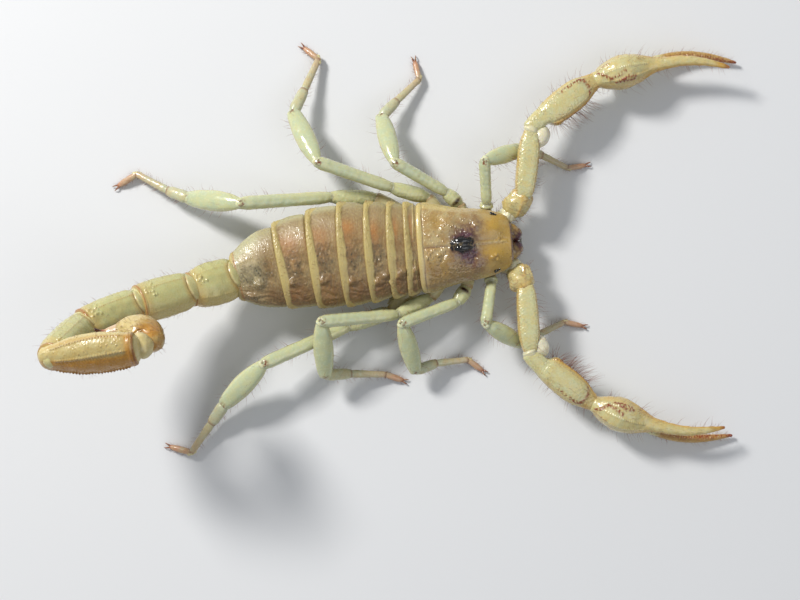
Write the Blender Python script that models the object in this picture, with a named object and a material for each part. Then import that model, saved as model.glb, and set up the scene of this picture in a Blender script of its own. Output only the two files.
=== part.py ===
"""Giant desert hairy scorpion, life size, in a standing pose with the tail folded back.

World axes: +X towards the head, +Y towards the animal's left, +Z up, floor at z = 0.
Lengths below are in millimetres and are scaled to metres when a mesh is made.
Headings are degrees anticlockwise from +X seen from above.
"""
import math

import bpy
from mathutils import Vector

MM = 0.001
GAP = 0.3                 # clear width of the cut between neighbouring pieces
UP = Vector((0, 0, 1))

# ---- trunk -------------------------------------------------------------------------------
DATUM = Vector((2.50, 1.11, 0))              # on the midline, just ahead of the first tergite
CARAPACE_HEADING = -3.5
CARAPACE_START = -0.8                        # rear and front edge, ahead of the datum
CARAPACE_END = 14.8
CARAPACE_SPLIT = 6.3                         # height of the cut between carapace and coxae
# distance ahead of the datum, half width, height of the back above the floor
CARAPACE_OUTLINE = ((-0.8, 7.7, 11.0), (1.2, 7.5, 11.1), (4, 7.0, 10.9), (8, 6.5, 10.5),
                    (11, 5.9, 10.0), (12.9, 4.9, 9.5), (14.2, 3.9, 9.0), (14.8, 3.3, 8.5))
EYE_HILL_AT = 6.2                            # distance of the median eyes ahead of the datum
EYE_HILL_HEIGHT = 0.9
EYE_HILL_SPREAD = 1.5
EYE_RADIUS = 0.55
EYE_SIDE = 0.72                              # sideways place of a median eye

TERGITE_LENGTHS = (2.35, 2.7, 3.65, 4.5, 5.15, 5.6, 7.95)
TERGITE_HEADINGS = (176, 176, 177, 178, 180, 184, 186.5)
BAND_HALF_WIDTHS = (7.7, 8.1, 8.3, 8.75, 9.0, 8.4, 7.4, 3.7)
BAND_TOPS = (11.1, 11.4, 11.7, 11.9, 11.9, 11.6, 11.0, 10.0)
# height of the belly at the front and rear of each trunk ring; the first two ride on the coxae
BELLY_HEIGHTS = ((4.9, 4.9), (4.9, 4.9), (2.9, 2.4), (2.4, 2.2), (2.2, 2.3), (2.3, 2.8),
                 (2.8, 4.4))
WAIST_HEIGHT = 7.7                           # level at which the trunk is widest

# ---- tail --------------------------------------------------------------------------------
TAIL_BASE_HEIGHT = 7.4
TAIL_LENGTHS = (8.5, 9.7, 10.6, 12.3, 13.6)
TAIL_WIDTHS = (7.5, 6.9, 6.5, 5.8, 7.2)
TAIL_DEPTHS = (6.3, 6.2, 6.0, 5.7, 5.0)
TAIL_HEADINGS = (188, 189, 196, 226, 358)
TAIL_PITCHES = (28, 30, 33, 62, 4)
# the telson's axis and half widths, measured from the end of the fifth segment
VESICLE_AXIS = ((2.0, 0.3, -2.9), (1.9, 1.1, -4.9), (0.5, 2.1, -6.5), (-1.4, 2.9, -7.2),
                (-3.5, 3.1, -7.3))
VESICLE_HALF_WIDTHS = (1.2, 2.4, 3.2, 2.6, 1.4)
ACULEUS_AXIS = ((-4.8, 3.1, -7.2), (-5.5, 3.1, -7.0), (-6.1, 3.3, -6.6), (-6.7, 3.8, -5.9))
ACULEUS_RADII = (1.0, 0.7, 0.48, 0.26)

# ---- pedipalps ---------------------------------------------------------------------------
# trochanter, femur, patella, palm, fixed finger, movable finger
PALP_LENGTHS = (4.5, 11.2, 14.2, 10.8, 12.2, 15.6)
PALP_HALF_WIDTHS = (2.05, 1.75, 2.5, 2.95, 1.0, 1.0)
PALP_HALF_DEPTHS = (1.8, 1.75, 2.1, 3.4, 1.0, 0.95)
# places of the palps' bases and the legs' hips are measured from DATUM
PALP_BASES = {"left": Vector((15.15, 3.8, 5.0)), "right": Vector((14.75, -5.2, 5.0))}
PALP_HEADINGS = {"left": (42, 76, 30, 6, 350, 357), "right": (292, 266, 313, 333, 349, 342)}
PATELLA_BOW = 0.2                            # how far the patella's middle bows outward
PALM_BOW = 0.15
FINGER_BOW = 1.5                             # how far a finger's middle bows outward
PALP_HEIGHTS = {"left": (7.1, 7.6, 5.6, 4.4, 6.6, 1.2), "right": (7.1, 7.1, 5.2, 4.3, 4.9, 1.0)}

# ---- legs --------------------------------------------------------------------------------
# trochanter, femur, patella, tibia, basitarsus, telotarsus
LEG_LENGTHS = ((1.0, 7.7, 8.6, 3.7, 5.2, 3.4), (3.4, 10.6, 10.0, 4.1, 5.7, 3.4),
               (6.8, 13.8, 11.0, 4.8, 6.3, 3.4), (7.9, 16.1, 10.8, 4.3, 6.5, 4.0))
# heights of the hip and of the six joints that follow, the last being the foot; the third
# right leg is lifted over the fourth, which passes beneath it
LEG_HEIGHTS = {
    "left": ((5.0, 5.6, 8.6, 3.9, 2.7, 1.3, 0.4), (5.0, 6.0, 9.4, 4.2, 2.8, 1.3, 0.4),
             (4.4, 6.0, 10.0, 5.0, 3.2, 1.3, 0.4), (3.6, 4.4, 9.8, 4.4, 2.8, 1.3, 0.4)),
    "right": ((5.0, 5.6, 8.7, 3.9, 2.6, 1.3, 0.4), (5.0, 6.2, 9.6, 4.3, 2.7, 1.3, 0.4),
              (4.6, 6.6, 11.6, 5.6, 3.3, 1.3, 0.4), (3.6, 4.2, 8.2, 4.0, 2.6, 1.3, 0.4))}
LEG_HIPS = {"left": ((11.55, 5.35), (7.15, 6.5), (2.05, 8.45), (-6.8, 9.7)),
            "right": ((10.65, -6.65), (6.45, -7.6), (0.1, -8.5), (-6.95, -9.9))}
LEG_HEADINGS = {
    "left": ((80, 86, 11, 335, 327, 2), (131, 143, 97, 39, 37, 96),
             (157, 154, 108, 58, 59, 133), (171, 177, 165, 152, 144, 203)),
    "right": ((268, 253, 323, 18, 17, 340), (227, 193, 278, 11, 358, 315),
              (199, 177, 265, 354, 350, 333), (191, 196, 217, 227, 227, 158))}
LEG_THICKNESS = (0.88, 0.94, 1.0, 1.05)      # how stout each pair is, front to rear

# name: (colour, roughness)
FINISHES = {
    "shell_tan": ((0.47, 0.30, 0.13), 0.38), "shell_band": ((0.62, 0.47, 0.20), 0.36),
    "shell_pale": ((0.62, 0.60, 0.27), 0.34), "shell_gold": ((0.68, 0.44, 0.15), 0.35),
    "belly": ((0.60, 0.52, 0.30), 0.45), "tarsus": ((0.60, 0.34, 0.20), 0.45),
    "claw_brown": ((0.30, 0.10, 0.04), 0.30), "eye_black": ((0.01, 0.01, 0.012), 0.08)}


def heading(degrees, pitch=0.0):
    """Unit vector that points along a heading, raised by a pitch."""
    turn, rise = math.radians(degrees), math.radians(pitch)
    return Vector((math.cos(turn) * math.cos(rise), math.sin(turn) * math.cos(rise),
                   math.sin(rise)))


def step_to_height(start, degrees, length, height):
    """The point one length away along a heading, at a given height."""
    rise = height - start.z
    reach = math.sqrt(length ** 2 - rise ** 2)
    return start + heading(degrees) * reach + UP * rise


def finish(name):
    """The Principled material of that name, made once."""
    material = bpy.data.materials.get(name)
    if material is None:
        colour, roughness = FINISHES[name]
        material = bpy.data.materials.new(name)
        material.use_nodes = True
        shader = material.node_tree.nodes["Principled BSDF"]
        shader.inputs["Base Color"].default_value = (*colour, 1.0)
        shader.inputs["Roughness"].default_value = roughness
        shader.inputs["Metallic"].default_value = 0.0
        material.diffuse_color = (*colour, 1.0)
    return material


def face_outward(points, faces):
    """The faces, all reversed if they enclose a negative volume."""
    volume = 0.0
    for face in faces:
        for i in range(1, len(face) - 1):
            a, b, c = points[face[0]], points[face[i]], points[face[i + 1]]
            volume += a.dot(b.cross(c))
    return faces if volume > 0 else [face[::-1] for face in faces]


def add_solid(name, points, faces, finish_name):
    """A named object from points in millimetres, with its origin at the points' centre."""
    centre = sum(points, Vector()) / len(points)
    faces = face_outward([p - centre for p in points], faces)
    mesh = bpy.data.meshes.new(name)
    mesh.from_pydata([(p - centre) * MM for p in points], [], faces)
    mesh.validate()
    mesh.shade_smooth()
    mesh.set_sharp_from_angle(angle=math.radians(40))
    mesh.materials.append(finish(finish_name))
    solid = bpy.data.objects.new(name, mesh)
    solid.location = centre * MM
    bpy.context.scene.collection.objects.link(solid)
    return solid


def loft(name, rings, finish_name, start_cap=None, end_cap=None):
    """A closed skin over rings of equal count, each anticlockwise seen from ahead."""
    count = len(rings[0])
    points = [point for ring in rings for point in ring]
    faces = []
    for row in range(len(rings) - 1):
        for i in range(count):
            j = (i + 1) % count
            low, high = row * count, (row + 1) * count
            faces.append((low + i, low + j, high + j, high + i))
    for ring_at, cap, turn in ((0, start_cap, -1), (len(rings) - 1, end_cap, 1)):
        ids = [ring_at * count + i for i in range(count)][::turn]
        if cap is None:
            faces.append(tuple(ids))
        else:
            points.append(cap)
            tip = len(points) - 1
            faces.extend((ids[i], ids[(i + 1) % count], tip) for i in range(count))
    return add_solid(name, points, faces, finish_name)


def section(centre, along, up, half_width, top, bottom, sides, squareness=2.0):
    """A superellipse across a direction, with its own height above and depth below."""
    along = along.normalized()
    side = up.cross(along).normalized()
    rise = along.cross(side)
    ring = []
    for i in range(sides):
        angle = 2 * math.pi * (i + 0.5) / sides
        c, s = math.cos(angle), math.sin(angle)
        power = 2.0 / squareness
        across = math.copysign(abs(c) ** power, c) * half_width
        height = math.copysign(abs(s) ** power, s) * (top if s > 0 else bottom)
        ring.append(centre - side * across + rise * height)
    return ring


def mitre(before, after):
    """Normal of the plane that halves the bend between two directions."""
    return (before + after).normalized()


def slide_to_plane(ring, plane_point, normal, along, reach):
    """Slides ring points along a direction onto a plane, outward no further than a reach.

    A reach of None leaves points alone that are already on the near side of the plane.
    """
    slope = along.dot(normal)
    moved = []
    for point in ring:
        shift = (plane_point - point).dot(normal) / slope
        outward = shift if slope > 0 else -shift
        if reach is None:
            outward = min(outward, 0.0)
        else:
            outward = min(outward, reach)
        moved.append(point + along * (outward if slope > 0 else -outward))
    return moved


def limb(name, joints, start_normal, end_normal, profiles, finish_name, sides=10,
         squareness=2.2, ups=None, reach=0.6, floor=None):
    """One node of a limb: a run of joints, each stretch with its own profile.

    The normals are those of the cuts at its two ends, or None at a free end.
    A profile is a list of (fraction along, half width, half height, half depth).
    """
    runs = [(b - a).normalized() for a, b in zip(joints, joints[1:])]
    ups = ups or [UP] * len(runs)
    rings = []
    for i, (start, end, along, profile) in enumerate(zip(joints, joints[1:], runs, profiles)):
        last = i == len(runs) - 1
        for fraction, wide, high, deep in profile:
            ring = section(start.lerp(end, fraction), along, ups[i], wide, high, deep, sides,
                           squareness)
            if fraction == 1 and not last:
                ring = slide_to_plane(ring, end, mitre(along, runs[i + 1]), along, 10.0)
            if start_normal is not None and i == 0:
                limit = reach * wide if fraction == 0 else None
                ring = slide_to_plane(ring, start + start_normal * GAP / 2, -start_normal,
                                      along, limit)
            if end_normal is not None and last:
                limit = reach * wide if fraction == 1 else None
                ring = slide_to_plane(ring, end - end_normal * GAP / 2, end_normal, along, limit)
            rings.append(ring)
    caps = [None, None]
    if start_normal is not None:
        caps[0] = joints[0] + runs[0] * (GAP / 2 / runs[0].dot(start_normal))
    if end_normal is not None:
        caps[1] = joints[-1] - runs[-1] * (GAP / 2 / runs[-1].dot(end_normal))
    if floor is not None:
        for point in (point for ring in rings for point in ring):
            point.z = max(point.z, floor)
    return loft(name, rings, finish_name, *caps)


# ---- trunk -------------------------------------------------------------------------------
def interpolate(table, at):
    """Straight-line reading of a table of (distance, values...)."""
    for low, high in zip(table, table[1:]):
        if at <= high[0]:
            t = (at - low[0]) / (high[0] - low[0])
            return [a + (b - a) * t for a, b in zip(low[1:], high[1:])]
    return list(table[-1][1:])


def carapace_surface(distance, across):
    """A point of the carapace's back; across runs from -1 (right edge) to 1 (left edge)."""
    half_width, top = interpolate(CARAPACE_OUTLINE, distance)
    along = heading(CARAPACE_HEADING)
    side = UP.cross(along)
    edge_height = CARAPACE_SPLIT + 1.1
    arch = (1 - abs(across) ** 2.6) ** 0.6
    z = edge_height + (top - edge_height) * arch
    y = across * half_width
    away = ((distance - EYE_HILL_AT) / EYE_HILL_SPREAD) ** 2 + (y / 1.1) ** 2
    z += EYE_HILL_HEIGHT * math.exp(-away)
    return DATUM + along * distance + side * y + UP * z


def build_carapace():
    """The prosoma's shield, flat below where it meets the coxae."""
    start = CARAPACE_START + GAP / 2
    distances = [start + (CARAPACE_END - start) * i / 13 for i in range(14)]
    sides = [math.sin(math.radians(90 * (i / 6 - 1))) for i in range(13)]
    along = heading(CARAPACE_HEADING)
    rings = []
    for distance in distances:
        ring = [carapace_surface(distance, -across) for across in sides]
        half_width = interpolate(CARAPACE_OUTLINE, distance)[0]
        for across in (-0.96, -0.5, 0.0, 0.5, 0.96):
            point = DATUM + along * distance + UP.cross(along) * (across * half_width)
            ring.append(point + UP * (CARAPACE_SPLIT + GAP / 2))
        rings.append(ring[::-1])
    loft("carapace", rings, "shell_gold")


def build_median_eyes():
    """Two glossy domes on the flanks of the eye hill."""
    along = heading(CARAPACE_HEADING)
    for side_name, sign in (("left", 1), ("right", -1)):
        half_width = interpolate(CARAPACE_OUTLINE, EYE_HILL_AT)[0]
        base = carapace_surface(EYE_HILL_AT, sign * EYE_SIDE / half_width)
        out = (UP + UP.cross(along) * sign * 0.9).normalized()
        centre = base + out * 0.22
        rings = []
        for step in range(5):
            tilt = math.radians(8 + 18 * step)
            rings.append(section(centre + out * (EYE_RADIUS * math.sin(tilt) - 0.05), out, along,
                                 EYE_RADIUS * math.cos(tilt), EYE_RADIUS * math.cos(tilt),
                                 EYE_RADIUS * math.cos(tilt), 12))
        loft("median_eye_" + side_name, rings, "eye_black")


def build_lateral_eyes():
    """A short row of three small eyes at each front corner, as one beaded ridge."""
    along = heading(CARAPACE_HEADING)
    for side_name, sign in (("left", 1), ("right", -1)):
        rings = []
        for step in range(13):
            distance = 12.2 + 1.9 * step / 12
            bead = 0.26 + 0.13 * abs(math.sin(math.pi * 3 * step / 12))
            half_width = interpolate(CARAPACE_OUTLINE, distance)[0]
            y = sign * (half_width + bead * 0.8 + 0.12)
            point = DATUM + along * distance + UP.cross(along) * y + UP * 7.35
            rings.append(section(point, along, UP, bead, bead, bead, 8))
        loft("lateral_eyes_" + side_name, rings, "eye_black")


def build_coxosternum():
    """The underside of the prosoma: sternum and leg coxae as one low block."""
    along = heading(CARAPACE_HEADING)
    profile = ((-4.7, 4.2, 2.5), (-3.0, 5.0, 2.3), (-1.0, 5.6, 2.2), (-0.5, 5.7, 2.2),
               (4, 5.9, 2.2), (8, 5.5, 2.3), (10.2, 4.8, 2.6))
    rings = []
    for distance, half_width, bottom in profile:
        top = 4.6 if distance < CARAPACE_START else CARAPACE_SPLIT - GAP / 2
        centre = DATUM + along * distance + UP * top
        rings.append(section(centre, along, UP, half_width, 0.01, top - bottom, 18, 2.6))
    loft("coxosternum", rings, "belly")


def spine_points():
    """Joint points along the trunk, from the carapace's rear edge to the tail."""
    points = [DATUM + heading(CARAPACE_HEADING) * CARAPACE_START]
    for length, degrees in zip(TERGITE_LENGTHS, TERGITE_HEADINGS):
        points.append(points[-1] + heading(degrees) * length)
    return points


def spine_normals():
    """Forward normals of the cuts across the trunk, one for each spine point."""
    runs = [heading(degrees + 180) for degrees in TERGITE_HEADINGS]
    inner = [mitre(a, b) for a, b in zip(runs, runs[1:])]
    return [heading(CARAPACE_HEADING), *inner, runs[-1]]


def build_mesosoma():
    """Seven rings of the trunk, each widest at its raised rear band."""
    points, normals = spine_points(), spine_normals()
    for i in range(7):
        front = points[i] - normals[i] * GAP / 2
        rear = points[i + 1] + normals[i + 1] * GAP / 2
        tapers = i == 6
        rings = []
        for stop in (0.0, 0.2, 0.5, 0.8, 1.0) if tapers else (0.0, 0.3, 0.75, 1.0):
            t = stop ** 1.7 if tapers else stop
            half_width = BAND_HALF_WIDTHS[i] * (1 - t) + BAND_HALF_WIDTHS[i + 1] * t
            top = BAND_TOPS[i] * (1 - t) + BAND_TOPS[i + 1] * t
            low = BELLY_HEIGHTS[i][0] * (1 - stop) + BELLY_HEIGHTS[i][1] * stop
            tuck = 0.35 * (1 - stop)
            centre = front.lerp(rear, stop) + UP * WAIST_HEIGHT
            along = normals[i].lerp(normals[i + 1], stop)
            rings.append(section(centre, along, UP, half_width - tuck,
                                 top - WAIST_HEIGHT - tuck * 0.6, WAIST_HEIGHT - low, 20, 2.15))
        loft("mesosoma_%d" % (i + 1), rings[::-1], "shell_tan")


# ---- tail --------------------------------------------------------------------------------
def tail_points():
    """Joint points of the tail, from its base to the front of the fifth segment."""
    points = [spine_points()[-1] + UP * TAIL_BASE_HEIGHT]
    for length, degrees, pitch in zip(TAIL_LENGTHS, TAIL_HEADINGS, TAIL_PITCHES):
        points.append(points[-1] + heading(degrees, pitch) * length)
    return points


def tail_ups():
    """The dorsal direction of each tail segment, carried along from joint to joint."""
    ups = []
    dorsal = UP.copy()
    previous = None
    for degrees, pitch in zip(TAIL_HEADINGS, TAIL_PITCHES):
        along = heading(degrees, pitch)
        if previous is not None:
            dorsal = previous.rotation_difference(along) @ dorsal
        dorsal = (dorsal - along * dorsal.dot(along)).normalized()
        ups.append(dorsal.copy())
        previous = along
    return ups


def build_tail():
    """Five keeled rings, each pinched at its joints, then the telson."""
    points = tail_points()
    ups = tail_ups()
    runs = [heading(*pair) for pair in zip(TAIL_HEADINGS, TAIL_PITCHES)]
    barrel = ((0, 0.78), (0.10, 0.90), (0.35, 0.98), (0.65, 1.0), (0.90, 0.94), (1, 0.82))
    bent = ((0, 0.86), (0.10, 0.96), (0.30, 1.0), (0.60, 1.0), (0.85, 0.93), (1, 0.66))
    spindle = ((0, 0.60), (0.14, 0.76), (0.30, 0.91), (0.51, 1.0), (0.70, 0.98), (0.88, 0.88),
               (1, 0.76))
    for i in range(5):
        half_width, half_depth = TAIL_WIDTHS[i] / 2, TAIL_DEPTHS[i] / 2
        profile = [(t, half_width * k, half_depth * k, half_depth * k)
                   for t, k in (barrel, barrel, barrel, bent, spindle)[i]]
        start = mitre(runs[i - 1], runs[i]) if i else heading(TERGITE_HEADINGS[-1])
        end = mitre(runs[i], runs[i + 1]) if i < 4 else runs[i]
        limb("metasoma_%d" % (i + 1), points[i:i + 2], start, end, [profile], "shell_pale",
             sides=14, squareness=2.7, ups=[ups[i]], reach=0.45)
    origin = points[-1]
    vesicle = [origin + Vector(p) for p in VESICLE_AXIS]
    loft_along("telson_vesicle", vesicle, VESICLE_HALF_WIDTHS, "shell_gold", 14)
    sting = [origin + Vector(p) for p in ACULEUS_AXIS]
    loft_along("aculeus", sting, ACULEUS_RADII, "claw_brown", 10)


def smooth_path(points, count):
    """Catmull-Rom points through a short list of vectors or numbers."""
    padded = [points[0] * 2 - points[1], *points, points[-1] * 2 - points[-2]]
    path = []
    for step in range(count):
        place = (len(points) - 1) * step / (count - 1)
        i = min(int(place), len(points) - 2)
        t = place - i
        a, b, c, d = padded[i:i + 4]
        path.append((b * 2 + (c - a) * t + (a * 2 - b * 5 + c * 4 - d) * t * t
                     + (b * 3 - a - c * 3 + d) * t ** 3) * 0.5)
    return path


def loft_along(name, points, radii, finish_name, sides):
    """A round body swept along a bent axis, with blunt rounded ends."""
    path = smooth_path(list(points), 9)
    sizes = smooth_path(list(radii), 9)
    rings = []
    for i, (point, size) in enumerate(zip(path, sizes)):
        along = path[min(i + 1, 8)] - path[max(i - 1, 0)]
        rings.append(section(point, along, UP + Vector((0.3, 0.1, 0)), size, size, size, sides))
    start = path[0] - (path[1] - path[0]).normalized() * sizes[0] * 0.35
    end = path[-1] + (path[-1] - path[-2]).normalized() * sizes[-1] * 0.6
    return loft(name, rings, finish_name, start, end)


# ---- head and pedipalps ------------------------------------------------------------------
def build_chelicerae():
    """Two short stout jaws that stand out in front of the carapace."""
    along = heading(CARAPACE_HEADING)
    front = DATUM + along * CARAPACE_END + UP * 6.5
    for side_name, sign in (("left", 1), ("right", -1)):
        base = front + UP.cross(along) * sign * 1.62 + along * 0.2
        profile = [(0, 1.3, 1.25, 1.4), (0.45, 1.42, 1.3, 1.6), (0.75, 1.15, 1.1, 1.4),
                   (1, 0.5, 0.55, 0.7)]
        tip = base + heading(CARAPACE_HEADING - sign * 6, -14) * 2.6
        limb("chelicera_" + side_name, [base, tip], None, None, [profile], "claw_brown", sides=12)


def palp_points(side_name):
    """Joint points of a pedipalp: base, then the ends of its six lengths."""
    points = [DATUM + PALP_BASES[side_name]]
    heights, headings = PALP_HEIGHTS[side_name], PALP_HEADINGS[side_name]
    for i in range(4):
        points.append(step_to_height(points[-1], headings[i], PALP_LENGTHS[i], heights[i]))
    return points


def finger_path(root, degrees, length, height, bow):
    """A finger's axis: four points from its root to its tip, bowed by a vector."""
    tip = step_to_height(root, degrees, length, height)
    return [root.lerp(tip, t) + bow * math.sin(math.pi * t) for t in (0.0, 0.33, 0.67, 1.0)]


def build_palp(side_name, sign):
    """A pedipalp: coxa, trochanter, femur, patella, hand and movable finger."""
    base, elbow_1, elbow_2, wrist, palm_end = palp_points(side_name)
    runs = [(b - a).normalized() for a, b in
            ((base, elbow_1), (elbow_1, elbow_2), (elbow_2, wrist), (wrist, palm_end))]
    wide, deep = PALP_HALF_WIDTHS, PALP_HALF_DEPTHS
    shapes = (("trochanter", ((0, 0.72), (0.3, 0.95), (0.7, 1.0), (1, 0.75))),
              ("femur", ((0, 0.78), (0.15, 0.95), (0.5, 1.0), (0.85, 0.97), (1, 0.78))),
              ("patella", ((0, 0.60), (0.36, 0.74), (0.72, 0.94), (1, 1.0)),
               ((0.4, 0.98), (0.65, 0.86), (0.85, 0.68), (1, 0.54))))
    bowed = elbow_2.lerp(wrist, 0.5) + UP.cross(runs[2]) * sign * PATELLA_BOW
    joints = ([base, elbow_1], [elbow_1, elbow_2], [elbow_2, bowed, wrist])
    for i, (part, *spans) in enumerate(shapes):
        profiles = [[(t, wide[i] * k, deep[i] * k, deep[i] * k) for t, k in span]
                    for span in spans]
        start = mitre(runs[i - 1], runs[i]) if i else None
        limb("palp_%s_%s" % (side_name, part), joints[i], start, mitre(runs[i], runs[i + 1]),
             profiles, "shell_pale", sides=12, squareness=2.5, reach=0.3)
    along = heading(CARAPACE_HEADING)
    coxa_start = DATUM + along * 11.3 + UP.cross(along) * sign * 2.6 + UP * 4.4
    coxa_end = base - runs[0] * 0.7 - UP * 0.2
    profile = [(0, 1.3, 1.3, 1.4), (0.5, 1.5, 1.2, 1.5), (1, 0.9, 0.9, 1.1)]
    limb("palp_%s_coxa" % side_name, [coxa_start, coxa_end], None, None, [profile],
         "shell_pale", sides=10)
    build_hand(side_name, sign, wrist, palm_end, runs[2], runs[3])


def build_hand(side_name, sign, wrist, palm_end, before, along):
    """The palm runs out above into the fixed finger; the movable finger lies below it."""
    wide, deep = PALP_HALF_WIDTHS[3], PALP_HALF_DEPTHS[3]
    headings, heights = PALP_HEADINGS[side_name], PALP_HEIGHTS[side_name]
    outward = UP.cross(along) * sign * FINGER_BOW
    fixed = finger_path(palm_end + UP * 1.5, headings[4], PALP_LENGTHS[4], heights[4],
                        outward * 0.7 + UP * 0.4)
    rings = []
    cut = mitre(before, along)
    for t, w, up, down in ((0, 0.50, 0.42, 0.42), (0.14, 0.80, 0.72, 0.72),
                           (0.38, 1.0, 1.0, 0.98), (0.62, 0.95, 0.96, 0.86),
                           (0.76, 0.84, 0.90, 0.30), (0.88, 0.66, 0.82, 0.02),
                           (0.98, 0.48, 0.70, -0.12)):
        bow = UP.cross(along) * sign * PALM_BOW * math.sin(math.pi * t)
        ring = section(wrist.lerp(palm_end, t) + bow, along, UP, wide * w, deep * up,
                       deep * down, 14, 2.3)
        if t == 0:
            ring = slide_to_plane(ring, wrist + cut * GAP / 2, -cut, along, 0.6)
        rings.append(ring)
    path = smooth_path(fixed, 6)[1:]
    for i, point in enumerate(path):
        size = PALP_HALF_WIDTHS[4] * (1.0 - 0.16 * i)
        forward = path[min(i + 1, 4)] - path[max(i - 1, 0)]
        rings.append(section(point, forward, UP, size, 0.95 * size, 0.85 * size, 14, 2.0))
    loft("palp_%s_hand" % side_name, rings, "shell_pale", wrist + along * GAP,
         path[-1] + (path[-1] - path[-2]).normalized() * 0.5)
    root = wrist.lerp(palm_end, 0.88) - UP * 1.95
    moving = finger_path(root, headings[5], PALP_LENGTHS[5], heights[5],
                         outward - UP * 0.2)
    sizes = [PALP_HALF_WIDTHS[5] * k for k in (1.15, 1.05, 0.8, 0.3)]
    loft_along("palp_%s_finger" % side_name, moving, sizes, "claw_brown", 12)


# ---- legs --------------------------------------------------------------------------------
def leg_points(side_name, pair):
    """Joint points of a leg from its hip to its foot."""
    heights = LEG_HEIGHTS[side_name][pair]
    points = [DATUM + Vector((*LEG_HIPS[side_name][pair], heights[0]))]
    for length, degrees, height in zip(LEG_LENGTHS[pair], LEG_HEADINGS[side_name][pair],
                                       heights[1:]):
        points.append(step_to_height(points[-1], degrees, length, height))
    return points


def build_leg(side_name, pair):
    """One walking leg in three nodes, its foot flat on the floor."""
    points = leg_points(side_name, pair)
    runs = [(b - a).normalized() for a, b in zip(points, points[1:])]
    stout = LEG_THICKNESS[pair]

    def scaled(shape):
        return [(t, w * stout, h * stout, d * stout) for t, w, h, d in shape]

    trochanter = scaled([(0, 0.7, 0.8, 0.9), (0.35, 1.25, 1.2, 1.3), (0.75, 1.3, 1.25, 1.35),
                         (1, 0.95, 1.0, 1.1)])
    femur = scaled([(0.12, 1.05, 1.15, 1.35), (0.5, 1.15, 1.2, 1.5), (0.88, 1.1, 1.15, 1.4),
                    (1, 0.8, 0.9, 1.0)])
    patella = scaled([(0, 0.75, 0.9, 0.9), (0.15, 1.3, 1.15, 1.25), (0.42, 1.7, 1.35, 1.5),
                      (0.75, 1.3, 1.15, 1.3), (0.93, 0.95, 0.9, 1.0), (1, 0.75, 0.75, 0.8)])
    tibia = scaled([(0, 0.7, 0.7, 0.75), (0.2, 0.9, 0.85, 0.95), (0.6, 0.95, 0.85, 0.95),
                    (1, 0.62, 0.65, 0.65)])
    basitarsus = scaled([(0.1, 0.68, 0.65, 0.65), (0.6, 0.6, 0.58, 0.6), (1, 0.5, 0.5, 0.5)])
    telotarsus = scaled([(0.15, 0.5, 0.5, 0.55), (0.6, 0.52, 0.45, 0.6), (0.85, 0.5, 0.4, 0.6),
                         (1, 0.3, 0.28, 0.45)])
    name = "leg_%s_%d_" % (side_name, pair + 1)
    knee, ankle = mitre(runs[1], runs[2]), mitre(runs[2], runs[3])
    limb(name + "femur", points[0:3], None, knee, [trochanter, femur], "shell_pale", 10,
         reach=0.5)
    limb(name + "patella", points[2:4], knee, ankle, [patella], "shell_pale", 10, reach=0.4)
    limb(name + "tarsus", points[3:7], ankle, None, [tibia, basitarsus, telotarsus], "tarsus",
         8, reach=0.4, floor=0.0)


def build_pectines():
    """The two combs under the first trunk rings, each a bent plate with teeth behind."""
    along = heading(CARAPACE_HEADING)
    centre = DATUM - along * 3.4
    thick = 0.6
    teeth = 12
    for side_name, sign in (("left", 1), ("right", -1)):
        outline = []
        for step in range(teeth * 2 + 1):
            t = step / (teeth * 2)
            back = 1.5 - 0.9 * t + (0.55 if step % 2 else 0.0)
            outline.append(comb_point(centre, along, sign, t, -back))
        for step in range(7):
            outline.append(comb_point(centre, along, sign, 1 - step / 6, 0.5))
        lower = [p + UP * 1.2 for p in outline]
        upper = [p + UP * (1.2 + thick) for p in outline]
        ordered = [ring if sign > 0 else ring[::-1] for ring in (upper, lower)]
        build_prism("pecten_" + side_name, ordered[0], ordered[1], "belly")


def comb_point(centre, along, sign, t, forward):
    """A point of the comb, t along its bent shaft and so far in front of it."""
    shaft = UP.cross(along) * sign * (0.8 + 8.2 * t) - along * (2.4 * t * t)
    return centre + shaft + along * forward


def build_prism(name, upper, lower, finish_name):
    """A plate between two outlines of equal count."""
    count = len(upper)
    faces = [tuple(range(count))[::-1], tuple(range(count, 2 * count))]
    faces.extend((i, (i + 1) % count, count + (i + 1) % count, count + i) for i in range(count))
    return add_solid(name, [*upper, *lower], faces, finish_name)


def main():
    """Clears the scene and builds every piece."""
    for leftover in list(bpy.data.objects):
        bpy.data.objects.remove(leftover, do_unlink=True)
    build_carapace()
    build_median_eyes()
    build_lateral_eyes()
    build_coxosternum()
    build_mesosoma()
    build_tail()
    build_pectines()
    build_chelicerae()
    for side_name, sign in (("left", 1), ("right", -1)):
        build_palp(side_name, sign)
        for pair in range(4):
            build_leg(side_name, pair)


main()
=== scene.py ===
"""Looks of a giant desert hairy scorpion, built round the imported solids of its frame.

Lengths are in millimetres in the frame's axes and are scaled to metres when a mesh is made:
+X towards the head, +Y towards the animal's left, +Z up, floor at z = 0.
"""
import math

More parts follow.
